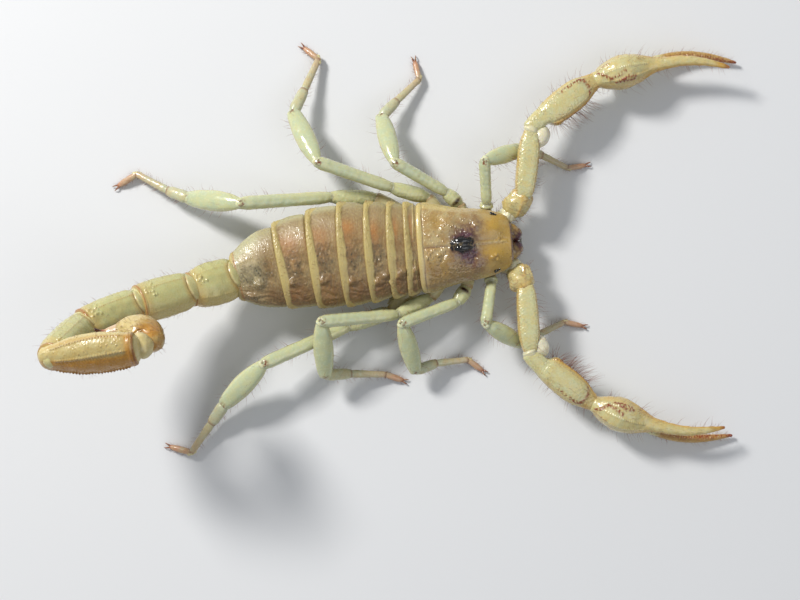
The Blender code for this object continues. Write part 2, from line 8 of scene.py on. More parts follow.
import bmesh
import bpy
import numpy as np
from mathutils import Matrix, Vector


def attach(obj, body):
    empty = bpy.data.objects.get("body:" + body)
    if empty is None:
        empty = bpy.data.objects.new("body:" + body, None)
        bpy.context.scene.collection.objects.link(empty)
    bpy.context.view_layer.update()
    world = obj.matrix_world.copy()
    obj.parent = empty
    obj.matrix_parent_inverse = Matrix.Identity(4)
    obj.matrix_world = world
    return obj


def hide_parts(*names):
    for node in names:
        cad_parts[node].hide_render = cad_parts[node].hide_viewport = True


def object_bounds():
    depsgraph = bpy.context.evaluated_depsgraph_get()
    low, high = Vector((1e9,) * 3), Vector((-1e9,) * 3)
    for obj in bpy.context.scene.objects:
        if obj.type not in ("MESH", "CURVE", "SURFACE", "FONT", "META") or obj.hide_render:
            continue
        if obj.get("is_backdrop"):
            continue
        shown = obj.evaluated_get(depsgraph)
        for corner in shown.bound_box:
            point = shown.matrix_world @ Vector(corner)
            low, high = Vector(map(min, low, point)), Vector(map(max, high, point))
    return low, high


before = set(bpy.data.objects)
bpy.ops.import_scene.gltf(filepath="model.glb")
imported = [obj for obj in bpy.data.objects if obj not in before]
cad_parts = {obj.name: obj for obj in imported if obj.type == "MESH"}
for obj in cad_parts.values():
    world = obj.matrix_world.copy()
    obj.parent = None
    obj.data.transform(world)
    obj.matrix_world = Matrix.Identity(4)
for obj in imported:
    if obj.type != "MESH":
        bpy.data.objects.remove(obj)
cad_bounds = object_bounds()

MM = 0.001
UP = Vector((0, 0, 1))
SIDES = (("left", 1), ("right", -1))

# ---- skeleton ----------------------------------------------------------------------------
# The carapace's skin has its own outline and eye hill, a little off the solids' to fit the
# photo: distance ahead of the datum, half width, height of the back.
SHIELD_OUTLINE = ((-0.8, 7.15, 11.0), (-0.4, 7.5, 11.05), (0.2, 7.65, 11.1),
                  (1.6, 7.45, 11.1), (3.6, 6.9, 10.95), (6.5, 6.25, 10.7), (9.0, 5.95, 10.4),
                  (10.9, 5.6, 10.0), (12.8, 5.0, 9.5), (13.9, 4.45, 9.15), (14.4, 4.0, 9.0),
                  (14.8, 3.2, 8.9))
SHIELD_EDGE_HEIGHT = 7.35
EYE_HILL_AT = 6.4
# Everything from here to the leg thickness has the values that drive the solids.
DATUM = Vector((2.50, 1.11, 0))
CARAPACE_HEADING = -3.5
TERGITE_LENGTHS = (2.35, 2.7, 3.65, 4.5, 5.15, 5.6, 7.95)
TERGITE_HEADINGS = (176, 176, 177, 178, 180, 184, 186.5)
BAND_HALF_WIDTHS = (7.7, 8.1, 8.3, 8.75, 9.0, 8.4, 7.4, 3.7)
BAND_TOPS = (11.1, 11.4, 11.7, 11.9, 11.9, 11.6, 11.0, 10.0)
BELLY_HEIGHTS = ((4.9, 4.9), (4.9, 4.9), (2.9, 2.4), (2.4, 2.2), (2.2, 2.3), (2.3, 2.8),
                 (2.8, 4.4))
WAIST_HEIGHT = 7.7
TAIL_BASE_HEIGHT = 7.4
TAIL_LENGTHS = (8.5, 9.7, 10.6, 12.3, 13.6)
TAIL_WIDTHS = (7.5, 6.9, 6.5, 5.8, 7.2)
TAIL_DEPTHS = (6.3, 6.2, 6.0, 5.7, 5.0)
TAIL_HEADINGS = (188, 189, 196, 226, 358)
TAIL_PITCHES = (28, 30, 33, 62, 4)
VESICLE_AXIS = ((2.0, 0.3, -2.9), (1.9, 1.1, -4.9), (0.5, 2.1, -6.5), (-1.4, 2.9, -7.2),
                (-3.5, 3.1, -7.3))
VESICLE_HALF_WIDTHS = (1.2, 2.4, 3.2, 2.6, 1.4)
ACULEUS_AXIS = ((-4.8, 3.1, -7.2), (-5.5, 3.1, -7.0), (-6.1, 3.3, -6.6), (-6.7, 3.8, -5.9))
ACULEUS_RADII = (1.0, 0.7, 0.48, 0.26)
PALP_LENGTHS = (4.5, 11.2, 14.2, 10.8, 12.2, 15.6)
PALP_HALF_WIDTHS = (2.05, 1.75, 2.5, 2.95)
PALP_HALF_DEPTHS = (1.8, 1.75, 2.1, 3.4)
PALP_BASES = {"left": Vector((15.15, 3.8, 5.0)), "right": Vector((14.75, -5.2, 5.0))}
PALP_HEADINGS = {"left": (42, 76, 30, 6, 350, 357), "right": (292, 266, 313, 333, 349, 342)}
PALP_HEIGHTS = {"left": (7.1, 7.6, 5.6, 4.4, 6.6, 1.2), "right": (7.1, 7.1, 5.2, 4.3, 4.9, 1.0)}
FINGER_BOW = 1.5
LEG_LENGTHS = ((1.0, 7.7, 8.6, 3.7, 5.2, 3.4), (3.4, 10.6, 10.0, 4.1, 5.7, 3.4),
               (6.8, 13.8, 11.0, 4.8, 6.3, 3.4), (7.9, 16.1, 10.8, 4.3, 6.5, 4.0))
LEG_HEIGHTS = {
    "left": ((5.0, 5.6, 8.6, 3.9, 2.7, 1.3, 0.4), (5.0, 6.0, 9.4, 4.2, 2.8, 1.3, 0.4),
             (4.4, 6.0, 10.0, 5.0, 3.2, 1.3, 0.4), (3.6, 4.4, 9.8, 4.4, 2.8, 1.3, 0.4)),
    "right": ((5.0, 5.6, 8.7, 3.9, 2.6, 1.3, 0.4), (5.0, 6.2, 9.6, 4.3, 2.7, 1.3, 0.4),
              (4.6, 6.6, 11.6, 5.6, 3.3, 1.3, 0.4), (3.6, 4.2, 8.2, 4.0, 2.6, 1.3, 0.4))}
LEG_HIPS = {"left": ((11.55, 5.35), (7.15, 6.5), (2.05, 8.45), (-6.8, 9.7)),
            "right": ((10.65, -6.65), (6.45, -7.6), (0.1, -8.5), (-6.95, -9.9))}
LEG_HEADINGS = {
    "left": ((80, 86, 11, 335, 327, 2), (131, 143, 97, 39, 37, 96),
             (157, 154, 108, 58, 59, 133), (171, 177, 165, 152, 144, 203)),
    "right": ((268, 253, 323, 18, 17, 340), (227, 193, 278, 11, 358, 315),
              (199, 177, 265, 354, 350, 333), (191, 196, 217, 227, 227, 158))}
LEG_THICKNESS = (0.88, 0.94, 1.0, 1.05)


def heading(degrees, pitch=0.0):
    """Unit vector along a heading, raised by a pitch."""
    turn, rise = math.radians(degrees), math.radians(pitch)
    return Vector((math.cos(turn) * math.cos(rise), math.sin(turn) * math.cos(rise),
                   math.sin(rise)))


def walk(start, headings, lengths, heights):
    """Points from a start, each a length further along its heading and at its own height."""
    points = [start]
    for degrees, length, height in zip(headings, lengths, heights):
        rise = height - points[-1].z
        points.append(points[-1] + heading(degrees) * math.sqrt(length ** 2 - rise ** 2)
                      + UP * rise)
    return points


def carapace_place(distance, across, height):
    """A point in the carapace's own directions: forward from its rear, left and up."""
    along = heading(CARAPACE_HEADING)
    return DATUM + along * distance + UP.cross(along) * across + UP * height


def spine_points():
    """Joint points along the trunk, from the carapace's rear edge to the tail."""
    points = [DATUM + heading(CARAPACE_HEADING) * SHIELD_OUTLINE[0][0]]
    for length, degrees in zip(TERGITE_LENGTHS, TERGITE_HEADINGS):
        points.append(points[-1] + heading(degrees) * length)
    return points


def tail_points():
    """Joint points of the tail."""
    points = [spine_points()[-1] + UP * TAIL_BASE_HEIGHT]
    for length, degrees, pitch in zip(TAIL_LENGTHS, TAIL_HEADINGS, TAIL_PITCHES):
        points.append(points[-1] + heading(degrees, pitch) * length)
    return points


def tail_ups():
    """The dorsal direction of each tail segment, carried along from joint to joint."""
    ups, dorsal, previous = [], UP.copy(), None
    for degrees, pitch in zip(TAIL_HEADINGS, TAIL_PITCHES):
        along = heading(degrees, pitch)
        if previous is not None:
            dorsal = previous.rotation_difference(along) @ dorsal
        dorsal = (dorsal - along * dorsal.dot(along)).normalized()
        ups.append(dorsal.copy())
        previous = along
    return ups


def palp_points(side_name):
    """Joint points of a pedipalp: base, elbow, elbow, wrist and end of the palm."""
    return walk(DATUM + PALP_BASES[side_name], PALP_HEADINGS[side_name][:4], PALP_LENGTHS,
                PALP_HEIGHTS[side_name])


def leg_points(side_name, pair):
    """Joint points of a leg from its hip to its foot."""
    heights = LEG_HEIGHTS[side_name][pair]
    return walk(DATUM + Vector((*LEG_HIPS[side_name][pair], heights[0])),
                LEG_HEADINGS[side_name][pair], LEG_LENGTHS[pair], heights[1:])


def mitre(points, joint):
    """Direction half way between the runs before and after a joint."""
    before, after = points[joint] - points[joint - 1], points[joint + 1] - points[joint]
    return (before.normalized() + after.normalized()).normalized()


# ---- materials ---------------------------------------------------------------------------
MARKS = ("brown", "pale", "dusk", "soft", "blush")
SHADER_CONSTANTS = {"Coat Roughness": 0.14, "IOR": 1.5, "Subsurface Radius": (1.0, 0.7, 0.3),
                    "Subsurface Scale": 0.0008}
LOOKS = {
    "carapace_cuticle": dict(base=(184, 164, 118), mottle=(170, 140, 90), brown=(80, 44, 58),
                             pale=(204, 184, 122), dusk=(12, 8, 12), blush=(184, 148, 68),
                             soft=(200, 182, 130), roughness=0.22, coat=0.65, grain=0.07,
                             flecks=0.2),
    "tergite_cuticle": dict(base=(150, 127, 88), mottle=(136, 108, 68), brown=(98, 60, 24),
                            pale=(188, 170, 110), dusk=(54, 54, 42), blush=(176, 124, 70),
                            soft=(184, 180, 144), roughness=0.43, coat=0.28,
                            mottle_scale=500.0, grain=0.08),
    "tail_cuticle": dict(base=(186, 185, 130), mottle=(187, 180, 122), brown=(146, 80, 28),
                         pale=(210, 198, 142), blush=(198, 158, 84), roughness=0.27, coat=0.4,
                         flecks=0.14, grain=0.09),
    "telson_cuticle": dict(base=(188, 172, 118), mottle=(184, 160, 98), brown=(112, 58, 22),
                           pale=(208, 192, 136), blush=(182, 128, 44), roughness=0.31,
                           coat=0.35, flecks=0.18, grain=0.08),
    "limb_cuticle": dict(base=(186, 195, 160), mottle=(194, 197, 153), brown=(118, 58, 30),
                         pale=(222, 218, 180), blush=(206, 180, 114), dusk=(36, 16, 14),
                         soft=(202, 196, 142), roughness=0.20, coat=0.5, glow=0.3, grain=0.03,
                         flecks=0.05),
    "palp_look": dict(base=(198, 196, 150), mottle=(202, 190, 134), brown=(134, 60, 30),
                      pale=(226, 219, 190), blush=(200, 158, 72), dusk=(36, 16, 14),
                      roughness=0.24, coat=0.45, glow=0.25, flecks=0.10),
    "tarsus_cuticle": dict(base=(188, 194, 162), mottle=(194, 188, 146), brown=(132, 70, 44),
                           blush=(196, 142, 112), roughness=0.28, coat=0.35, flecks=0.12),
    "belly_cuticle": dict(base=(198, 188, 142), mottle=(188, 172, 118), roughness=0.34,
                          flecks=0.2),
    "horn_brown": dict(base=(176, 110, 76), mottle=(150, 80, 50), brown=(58, 26, 16),
                       dusk=(26, 13, 10), pale=(206, 180, 148), roughness=0.18, coat=0.6,
                       glow=0.0),
    "eye_black": dict(base=(14, 12, 14), mottle=(9, 8, 10), roughness=0.05, coat=1.0,
                      grain=0.0, glow=0.0),
    "setae": dict(base=(116, 60, 44), mottle=(150, 84, 58), roughness=0.35, coat=0.1,
                  glow=0.0)}


def tone(red, green, blue):
    """Scene-linear colour from display values of 0 to 255."""
    return tuple((c / 255) ** 2.2 for c in (red, green, blue))


def cuticle(name, base, mottle, brown=(118, 52, 20), pale=(222, 202, 140), dusk=(70, 55, 50),
            soft=(205, 196, 132), blush=(206, 150, 70), roughness=0.32, coat=0.3,
            mottle_scale=800.0, grain=0.05, glow=0.15, flecks=0.3):
    """Glossy cuticle: two mottled shades under five kinds of marks that the mesh holds."""
    material = bpy.data.materials.new(name)
    material.use_nodes = True
    nodes, links = material.node_tree.nodes, material.node_tree.links

    def node(kind, inputs, **settings):
        """The outputs of a new node, its inputs given as numbers, colours or outputs."""
        new = nodes.new("ShaderNode" + kind)
        for setting, value in settings.items():
            setattr(new, setting, value)
        for socket, value in inputs.items():
            if isinstance(value, bpy.types.NodeSocket):
                links.new(value, new.inputs[socket])
            else:
                new.inputs[socket].default_value = (
                    (*value, 1.0) if isinstance(value, tuple) else value)
        return new.outputs

    place = node("TexCoord", {})["Object"]

    def noise(scale, detail, rough=0.55):
        return node("TexNoise", {"Vector": place, "Scale": scale * mottle_scale,
                                 "Detail": detail, "Roughness": rough})["Fac"]

    def spread(value, low, high, to_low=0.0, to_high=1.0):
        return node("MapRange", {"Value": value, "From Min": low, "From Max": high,
                                 "To Min": to_low, "To Max": to_high},
                    interpolation_type="SMOOTHSTEP")["Result"]

    def mix(factor, first, second):
        return node("Mix", {0: factor, 6: first, 7: second}, data_type="RGBA")[2]

    def mark(mark_name):
        return node("Attribute", {}, attribute_name=mark_name)["Fac"]

    def broken(mark_name):
        return node("Math", {0: mark(mark_name), 1: breakup}, operation="MULTIPLY",
                    use_clamp=True)[0]

    colour = mix(spread(noise(1, 3.0), 0.35, 0.65), tone(*base), tone(*mottle))
    colour = mix(mark("soft"), colour, tone(*soft))
    colour = mix(mark("blush"), colour, tone(*blush))
    fleck = spread(noise(6, 2.0), 0.50, 0.75, 0.0, flecks)
    colour = mix(fleck, colour, tuple(c * 0.62 for c in tone(*mottle)))
    colour = mix(mark("pale"), colour, tone(*pale))
    breakup = spread(noise(2.5, 3.0), 0.30, 0.55, 0.72, 1.0)
    colour = mix(broken("dusk"), colour, tone(*dusk))
    colour = mix(broken("brown"), colour, tone(*brown))
    rough = spread(noise(3, 3.0), 0.3, 0.7, roughness - 0.08, roughness + 0.12)
    bump = node("Bump", {"Strength": 0.5, "Distance": grain * MM, "Height": noise(6, 4.0, 0.6)})
    shader = nodes["Principled BSDF"]
    links.new(colour, shader.inputs["Base Color"])
    links.new(rough, shader.inputs["Roughness"])
    links.new(bump["Normal"], shader.inputs["Normal"])
    shader.inputs["Coat Weight"].default_value = coat
    shader.inputs["Subsurface Weight"].default_value = glow
    for socket, value in SHADER_CONSTANTS.items():
        shader.inputs[socket].default_value = value
    return material


SKINS = {look: cuticle(look.split("_")[0] + "_skin", **values) for look, values in LOOKS.items()}


# ---- mesh making -------------------------------------------------------------------------
def smooth(table, places):
    """Catmull-Rom reading of a table of (place, values...) at many places."""
    table = np.array(table, float)
    xs, values = table[:, 0], table[:, 1:]
    slopes = np.gradient(values, xs, axis=0)
    i = np.clip(np.searchsorted(xs, places) - 1, 0, len(xs) - 2)
    span = (xs[i + 1] - xs[i])[:, None]
    t = np.clip((places - xs[i])[:, None] / span, 0, 1)
    a, b, ma, mb = values[i], values[i + 1], slopes[i] * span, slopes[i + 1] * span
    return ((2 * t ** 3 - 3 * t ** 2 + 1) * a + (t ** 3 - 2 * t ** 2 + t) * ma
            + (3 * t ** 2 - 2 * t ** 3) * b + (t ** 3 - t ** 2) * mb)


def unit(vectors):
    """Rows of vectors scaled to length 1."""
    return vectors / np.linalg.norm(vectors, axis=-1, keepdims=True)


def hump(x, at, width):
    """A smooth bump of height 1."""
    return np.exp(-((x - at) / width) ** 2)


def edge(x, low, high):
    """A smooth step from 0 at low to 1 at high."""
    t = np.clip((x - low) / (high - low), 0, 1)
    return t * t * (3 - 2 * t)


def fade(x, low, high):
    """A smooth step from 1 at low to 0 at high."""
    return 1 - edge(x, low, high)


def between(x, rise, fall):
    """1 between a rise and a fall, both smooth steps given as (low, high)."""
    return edge(x, *rise) * fade(x, *fall)


def beads(x, step):
    """A row of round beads from 0 to 1."""
    return 0.5 + 0.5 * np.cos(2 * math.pi * x / step)


def wrapped(angle):
    """An angle brought to -pi..pi."""
    return (angle + math.pi) % (2 * math.pi) - math.pi


def clip(x):
    """Kept between 0 and 1."""
    return np.clip(x, 0, 1)


class Sweep:
    """A closed skin swept along a path: a grid of points, rows along it, columns round it.

    A profile row is (share of the path, half width, height, depth) or (share, radius). t is
    each row's share of the path and place its distance in millimetres. angle is 0 on the upper
    line, positive on the left of the path's run and pi below.
    """

    def __init__(self, path, profile, sides=32, rows=40, square=2.2, blunt=(0.6, 0.6), up=UP):
        path = np.array([tuple(p) for p in path], float)
        profile = [row if len(row) == 4 else (row[0], *(row[1],) * 3) for row in profile]
        lengths = np.r_[0, np.cumsum(np.linalg.norm(np.diff(path, axis=0), axis=1))]
        self.length = lengths[-1]
        ends = smooth(profile, np.array([0.0, 1.0]))[:, 0] * blunt
        turn = np.linspace(0, math.pi / 2, 6)[:-1]
        places = np.r_[-ends[0] * np.cos(turn), np.linspace(0, self.length, rows),
                       self.length + ends[1] * np.cos(turn[::-1])]
        shrink = np.maximum(np.r_[np.sin(turn), np.ones(rows), np.sin(turn[::-1])], 0.02)
        t = places / self.length
        inside = clip(t)
        start, end = path[1] - path[0], path[-1] - path[-2]
        if len(path) == 2:
            self.centre = path[0] + start * t[:, None]
        else:
            over = (t - inside)[:, None] * self.length
            self.centre = smooth(np.column_stack([lengths / self.length, path]), inside)
            self.centre += np.where(over < 0, over * unit(start), over * unit(end))
        self.along = unit(np.gradient(self.centre, axis=0))
        left = unit(np.cross(np.array(tuple(up)), self.along))
        rise = np.cross(self.along, left)
        sizes = smooth(profile, inside) * shrink[:, None]
        angle = (np.arange(sides) + 0.5) / sides * 2 * math.pi - math.pi
        across, height = (np.sign(c) * np.abs(c) ** (2.0 / square)
                          for c in (np.sin(angle), np.cos(angle)))
        vertical = np.where(height > 0, sizes[:, 1:2], sizes[:, 2:3]) * height
        self.grid = (self.centre[:, None] + left[:, None] * (across * sizes[:, :1])[..., None]
                     + rise[:, None] * vertical[..., None])
        self.t, self.angle = t[:, None], angle[None]
        self.place = self.t * self.length
        self.marks = {mark: np.zeros(self.grid.shape[:2]) for mark in MARKS}

    def normals(self):
        """Outward unit normals of the grid."""
        down = np.gradient(self.grid, axis=0)
        around = np.roll(self.grid, -1, axis=1) - np.roll(self.grid, 1, axis=1)
        normals = np.cross(around, down)
        normals /= np.maximum(np.linalg.norm(normals, axis=2), 1e-9)[..., None]
        inward = np.sum(normals * (self.grid - self.centre[:, None])) < 0
        return -normals if inward else normals

    def shift(self, direction, amount):
        """Moves the skin by an amount for each grid point."""
        amount = np.broadcast_to(amount, self.grid.shape[:2])
        self.grid = self.grid + np.asarray(direction, float) * amount[..., None]
        return self

    def raise_by(self, amount):
        """Moves the skin outward."""
        return self.shift(self.normals(), amount)

    def mark(self, **amounts):
        """Adds to colour marks, each kept between 0 and 1."""
        for name, amount in amounts.items():
            self.marks[name] = clip(self.marks[name] + amount)
        return self

    def noise(self, size, seed):
        """Soft seeded noise about 0, seldom beyond 1.5, as a sum of plane waves."""
        rng = np.random.default_rng(seed)
        total = np.zeros(self.grid.shape[:2])
        for _ in range(10):
            direction = rng.normal(size=3)
            direction *= 2 * math.pi / size / np.linalg.norm(direction) * rng.uniform(0.6, 1.5)
            total += np.sin(self.grid @ direction + rng.uniform(0, 2 * math.pi))
        return total / 3.2

    def grains(self, size, seed, above=0.8):
        """Scattered grains where the noise is above a level."""
        return clip(self.noise(size, seed) - above)

    def net(self, size, seed, thin, wide):
        """A network of lines where the noise changes sign."""
        return fade(np.abs(self.noise(size, seed)), thin, wide)

    def keel(self, at, height, width=0.10, bead=0.45, brown=0.8, span=(0.04, 0.96), twist=0.0):
        """A ridge along the skin at an angle, broken into granules, with browned tops."""
        middle = at + twist * (clip(self.t) - 0.5)
        line = hump(wrapped(self.angle - middle), 0, width)
        run = between(self.t, (span[0], span[0] + 0.05), (span[1] - 0.05, span[1]))
        tops = beads(self.place, bead)
        self.raise_by(line * run * height * (0.45 + 0.55 * tops))
        return self.mark(brown=line ** 2 * run * brown * (0.12 + 0.88 * tops ** 2))

    def keels(self, angles, *sizes):
        """Several keels of one kind."""
        for at in angles:
            self.keel(at, *sizes)
        return self

    def above_floor(self, height):
        """Lifts what is lower than a height up to it."""
        self.grid[..., 2] = np.maximum(self.grid[..., 2], height)
        return self


def ball(centre, along, length, width, depth, sides=24, rows=14, square=2.0, up=UP):
    """An ellipsoid-like closed body."""
    centre, along = Vector(centre), Vector(along).normalized()
    profile = []
    for k in range(13):
        t = 0.5 - 0.5 * math.cos(math.pi * k / 12)
        size = math.sqrt(max(1 - (2 * t - 1) ** 2, 0.0))
        profile.append((t, width * size + 0.001, depth * size + 0.001, depth * size + 0.001))
    return Sweep((centre - along * length, centre + along * length), profile, sides, rows,
                 square, (0.01, 0.01), up)


def limb_piece(path, shape, wide, high, deep, sides=36, step=0.14, square=2.2, blunt=(0.6, 0.6)):
    """A sweep whose profile is a list of (fraction, share of the full size)."""
    length = sum((b - a).length for a, b in zip(path, path[1:]))
    profile = [(t, wide * k, high * k, deep * k) for t, k in shape]
    return Sweep(path, profile, sides, max(int(length / step), 12), square, blunt)


def knuckle(points, joint, width, depth, up=UP, long=False):
    """The soft skin inside a joint."""
    soft = ball(points[joint], mitre(points, joint), width if long else max(width * 0.55, 1.0),
                width, depth, 40, 20, 2.2, up)
    return soft.raise_by(0.04 * np.sin(soft.place * 9.0)).mark(pale=0.6)


def add_object(name, data):
    """Puts a mesh, lamp or camera into the scene."""
    new = bpy.data.objects.new(name, data)
    bpy.context.scene.collection.objects.link(new)
    return new


def add_piece(mesh, look, node=None):
    """A smooth piece, its faces turned outward, in place of a node if one is named."""
    bm = bmesh.new()
    bm.from_mesh(mesh)
    bmesh.ops.recalc_face_normals(bm, faces=bm.faces)
    bm.to_mesh(mesh)
    bm.free()
    mesh.shade_smooth()
    mesh.materials.append(SKINS[look])
    piece = add_object(mesh.name, mesh)
    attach(piece, "root")
    if node:
        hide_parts(node)


def build_piece(name, node, slot_name, sweeps, look=None):
    """Joins sweeps, with their marks, into one piece."""
    faces, count = [], 0
    for sweep in sweeps:
        ids = np.arange(sweep.grid[..., 0].size).reshape(sweep.grid.shape[:2]) + count
        turned = np.roll(ids, -1, axis=1)
        quads = np.stack([ids[:-1], turned[:-1], turned[1:], ids[1:]], -1)
        faces += quads.reshape(-1, 4).tolist() + [ids[0, ::-1].tolist(), ids[-1].tolist()]
        count += ids.size
    mesh = bpy.data.meshes.new(name)
    points = np.concatenate([sweep.grid.reshape(-1, 3) for sweep in sweeps])
    mesh.from_pydata((points * MM).tolist(), [], faces)
    for mark in MARKS:
        values = np.concatenate([sweep.marks[mark].ravel() for sweep in sweeps])
        layer = mesh.attributes.new(mark, "FLOAT", "POINT")
        layer.data.foreach_set("value", values.astype(np.float32))
    mesh.validate()
    add_piece(mesh, look or slot_name, node)


def anywhere(t, a):
    """Hairs all round and all along."""
    return 1.0


def beside(base, low=0.8, high=1.4):
    """Hairs denser beside and below a limb than on top of it."""
    return lambda t, a: base + edge(np.abs(a), low, high)


class Coat:
    """Stiff hairs as solid tapered cones, mapped by where each one grows on the skin."""

    CORNERS, RINGS = 3, 3           # corners of a hair and rings below its tip
    ATLAS, CELL = 7, 0.13           # the map holds 7 x 7 skins, each a cell wide
    PATCH = 0.003                   # a hair's own patch in the map

    def __init__(self, name):
        self.name, self.points, self.uvs = name, [], []

    def grow(self, sweep, count, lengths, lean, seed, where=anywhere, radius=0.024):
        """Plants hairs where a weight allows, pointing out and leaning along the limb."""
        rng = np.random.default_rng(seed)
        rows, sides = sweep.grid.shape[:2]
        weight = where(sweep.t, sweep.angle) * (sweep.t > 0.02) * (sweep.t < 0.98)
        weight = np.broadcast_to(weight, (rows, sides)).ravel()
        picks = rng.choice(rows * sides, count, p=weight / weight.sum())
        row, column = picks // sides, picks % sides
        normals, along = unit(sweep.normals()[row, column]), sweep.along[row]
        aim = unit(normals * (1 - lean) + along * lean + rng.normal(0, 0.13, (count, 3)))
        bend = along * rng.uniform(0.05, 0.35, (count, 1)) + rng.normal(0, 0.06, (count, 3))
        length = rng.uniform(*lengths, (count, 1))
        roots = sweep.grid[row, column] - normals * 0.06
        first = unit(np.cross(aim, along + 0.37))
        second = np.cross(aim, first)
        thick = radius * (0.7 + 0.3 * length / lengths[1])
        cell = np.array(divmod(len(self.points), self.ATLAS))[::-1] / self.ATLAS
        at = cell + np.column_stack([column / sides, row / rows]) * self.CELL
        points, uvs = [], []
        for ring in range(self.RINGS):
            share = ring / self.RINGS
            centre = roots + (aim * share + bend * share ** 2) * length
            for corner in range(self.CORNERS):
                turn = 2 * math.pi * corner / self.CORNERS
                around = first * math.cos(turn) + second * math.sin(turn)
                points.append(centre + around * thick * (1 - 0.75 * share))
                uvs.append(at + np.array([corner / self.CORNERS, share]) * self.PATCH)
        points.append(roots + (aim + bend) * length)
        uvs.append(at + np.array([0.3, 1.0]) * self.PATCH)
        points = np.stack(points, 1).reshape(-1, 3)
        points[:, 2] = np.maximum(points[:, 2], 0.02)
        self.points.append(points)
        self.uvs.append(np.stack(uvs, 1).reshape(-1, 2))

    def hair_faces(self):
        """Corner numbers of one hair's faces: its root, its side quads and its tip."""
        faces = [list(reversed(range(self.CORNERS)))]
        for ring in range(self.RINGS):
            for corner in range(self.CORNERS):
                low = ring * self.CORNERS
                face = [low + corner, low + (corner + 1) % self.CORNERS]
                if ring < self.RINGS - 1:
                    face += [face[1] + self.CORNERS, face[0] + self.CORNERS]
                else:
                    face.append(self.RINGS * self.CORNERS)
                faces.append(face)
        return faces

    def build(self):
        """Makes the coat's mesh, with its map, as one piece."""
        points, uvs = np.concatenate(self.points), np.concatenate(self.uvs)
        pattern, size = self.hair_faces(), self.RINGS * self.CORNERS + 1
        faces = [[base + corner for corner in face] for base in range(0, len(points), size)
                 for face in pattern]
        mesh = bpy.data.meshes.new(self.name)
        mesh.from_pydata((points * MM).tolist(), [], faces)
        corners = np.zeros(len(mesh.loops), np.int32)
        mesh.loops.foreach_get("vertex_index", corners)
        layer = mesh.uv_layers.new(name="OFBake")
        layer.data.foreach_set("uv", uvs[corners].astype(np.float32).ravel())
        add_piece(mesh, "setae")


COATS = {name: Coat("setae_" + name) for name in
         ("body", "palp_left", "palp_right", "legs_left", "legs_right")}


# ---- trunk -------------------------------------------------------------------------------
FINE_STEP = 0.085          # spacing of the rows of the finest skins
LAST_TERGITE = 6
BAND_SAGS = (0.35, 0.15, 0.45, 0.6, 0.6, 0.45, 0.2, 0.0)
BAND_WIDTH = 1.12          # the pale raised rear band of each tergite
TERGITE_EDGE = 1.42        # angle of a tergite's side edge, above the soft flank
STERNITE_EDGE = 2.25       # angle where the belly plates begin
TILE_STEP = 0.45           # how far a tergite's front is tucked in beside the band before it
SKIN_DEPTH = 0.08          # how far a ring's skin starts inside its outline
STRIAE = ((0.30, 0.7), (0.46, 0.9), (0.66, 1.0), (0.92, 1.0), (1.16, 0.6))  # (back, depth)
PITS = ((-0.62, 0.16), (-0.86, 0.10), (-0.30, 0.08))                        # (angle, depth)
TERGITE_FOLDS = (((1.45, -0.48),), ((1.05, -0.55), (2.40, -0.48)),
                 ((1.40, -0.62), (3.00, -0.53)), ((1.75, -0.52),), ((1.95, -0.46),),
                 ((1.90, -0.42),), ((4.20, -0.35), (2.30, -0.75)))  # (forward, angle)


def build_mesosoma():
    """Seven trunk rings: a tergite with its raised pale band, soft flanks and a belly plate."""
    points = [point + UP * WAIST_HEIGHT for point in spine_points()]
    for i, length in enumerate(TERGITE_LENGTHS):
        tuck_in = 0.9 if i else 0.35
        start = points[i + 1]
        end = points[i] - heading(TERGITE_HEADINGS[max(i - 1, 0)]) * tuck_in
        profile = []
        for t in np.linspace(0, 1, 26):
            place = t * (length + tuck_in)
            k = min(place / length, 1.0)
            bend = 1 - (1 - k) ** 1.7 if i == LAST_TERGITE else k
            wide = BAND_HALF_WIDTHS[i + 1] * (1 - bend) + (BAND_HALF_WIDTHS[i] - TILE_STEP) * bend
            wide += 0.22 * math.sin(math.pi * k) - 0.40 * max(1 - place / 0.45, 0) ** 2
            top = BAND_TOPS[i + 1] * (1 - bend) + (BAND_TOPS[i] - 0.15) * bend
            low = BELLY_HEIGHTS[i][1] * (1 - k) + BELLY_HEIGHTS[i][0] * k - 0.3 * (i < 2)
            profile.append((t, wide - SKIN_DEPTH, top - SKIN_DEPTH - WAIST_HEIGHT,
                            WAIST_HEIGHT - low))
        ring = Sweep((start, end), profile, 300, int((length + tuck_in) / FINE_STEP), 2.15,
                     (0.03, 0.03))
        sag = BAND_SAGS[i + 1] + (BAND_SAGS[i] - BAND_SAGS[i + 1]) * ring.t
        ring.shift((start - end).normalized(), sag * clip(np.cos(ring.angle)) ** 1.5)
        shape_tergite(ring, i)
        build_piece("trunk_ring_%d" % (i + 1), "mesosoma_%d" % (i + 1), "tergite_cuticle", [ring])
        COATS["body"].grow(ring, 26, (0.5, 0.9), 0.55, 300 + i,
                           lambda t, a: (np.abs(a) < 1.4) * hump(t, 0.1, 0.1))


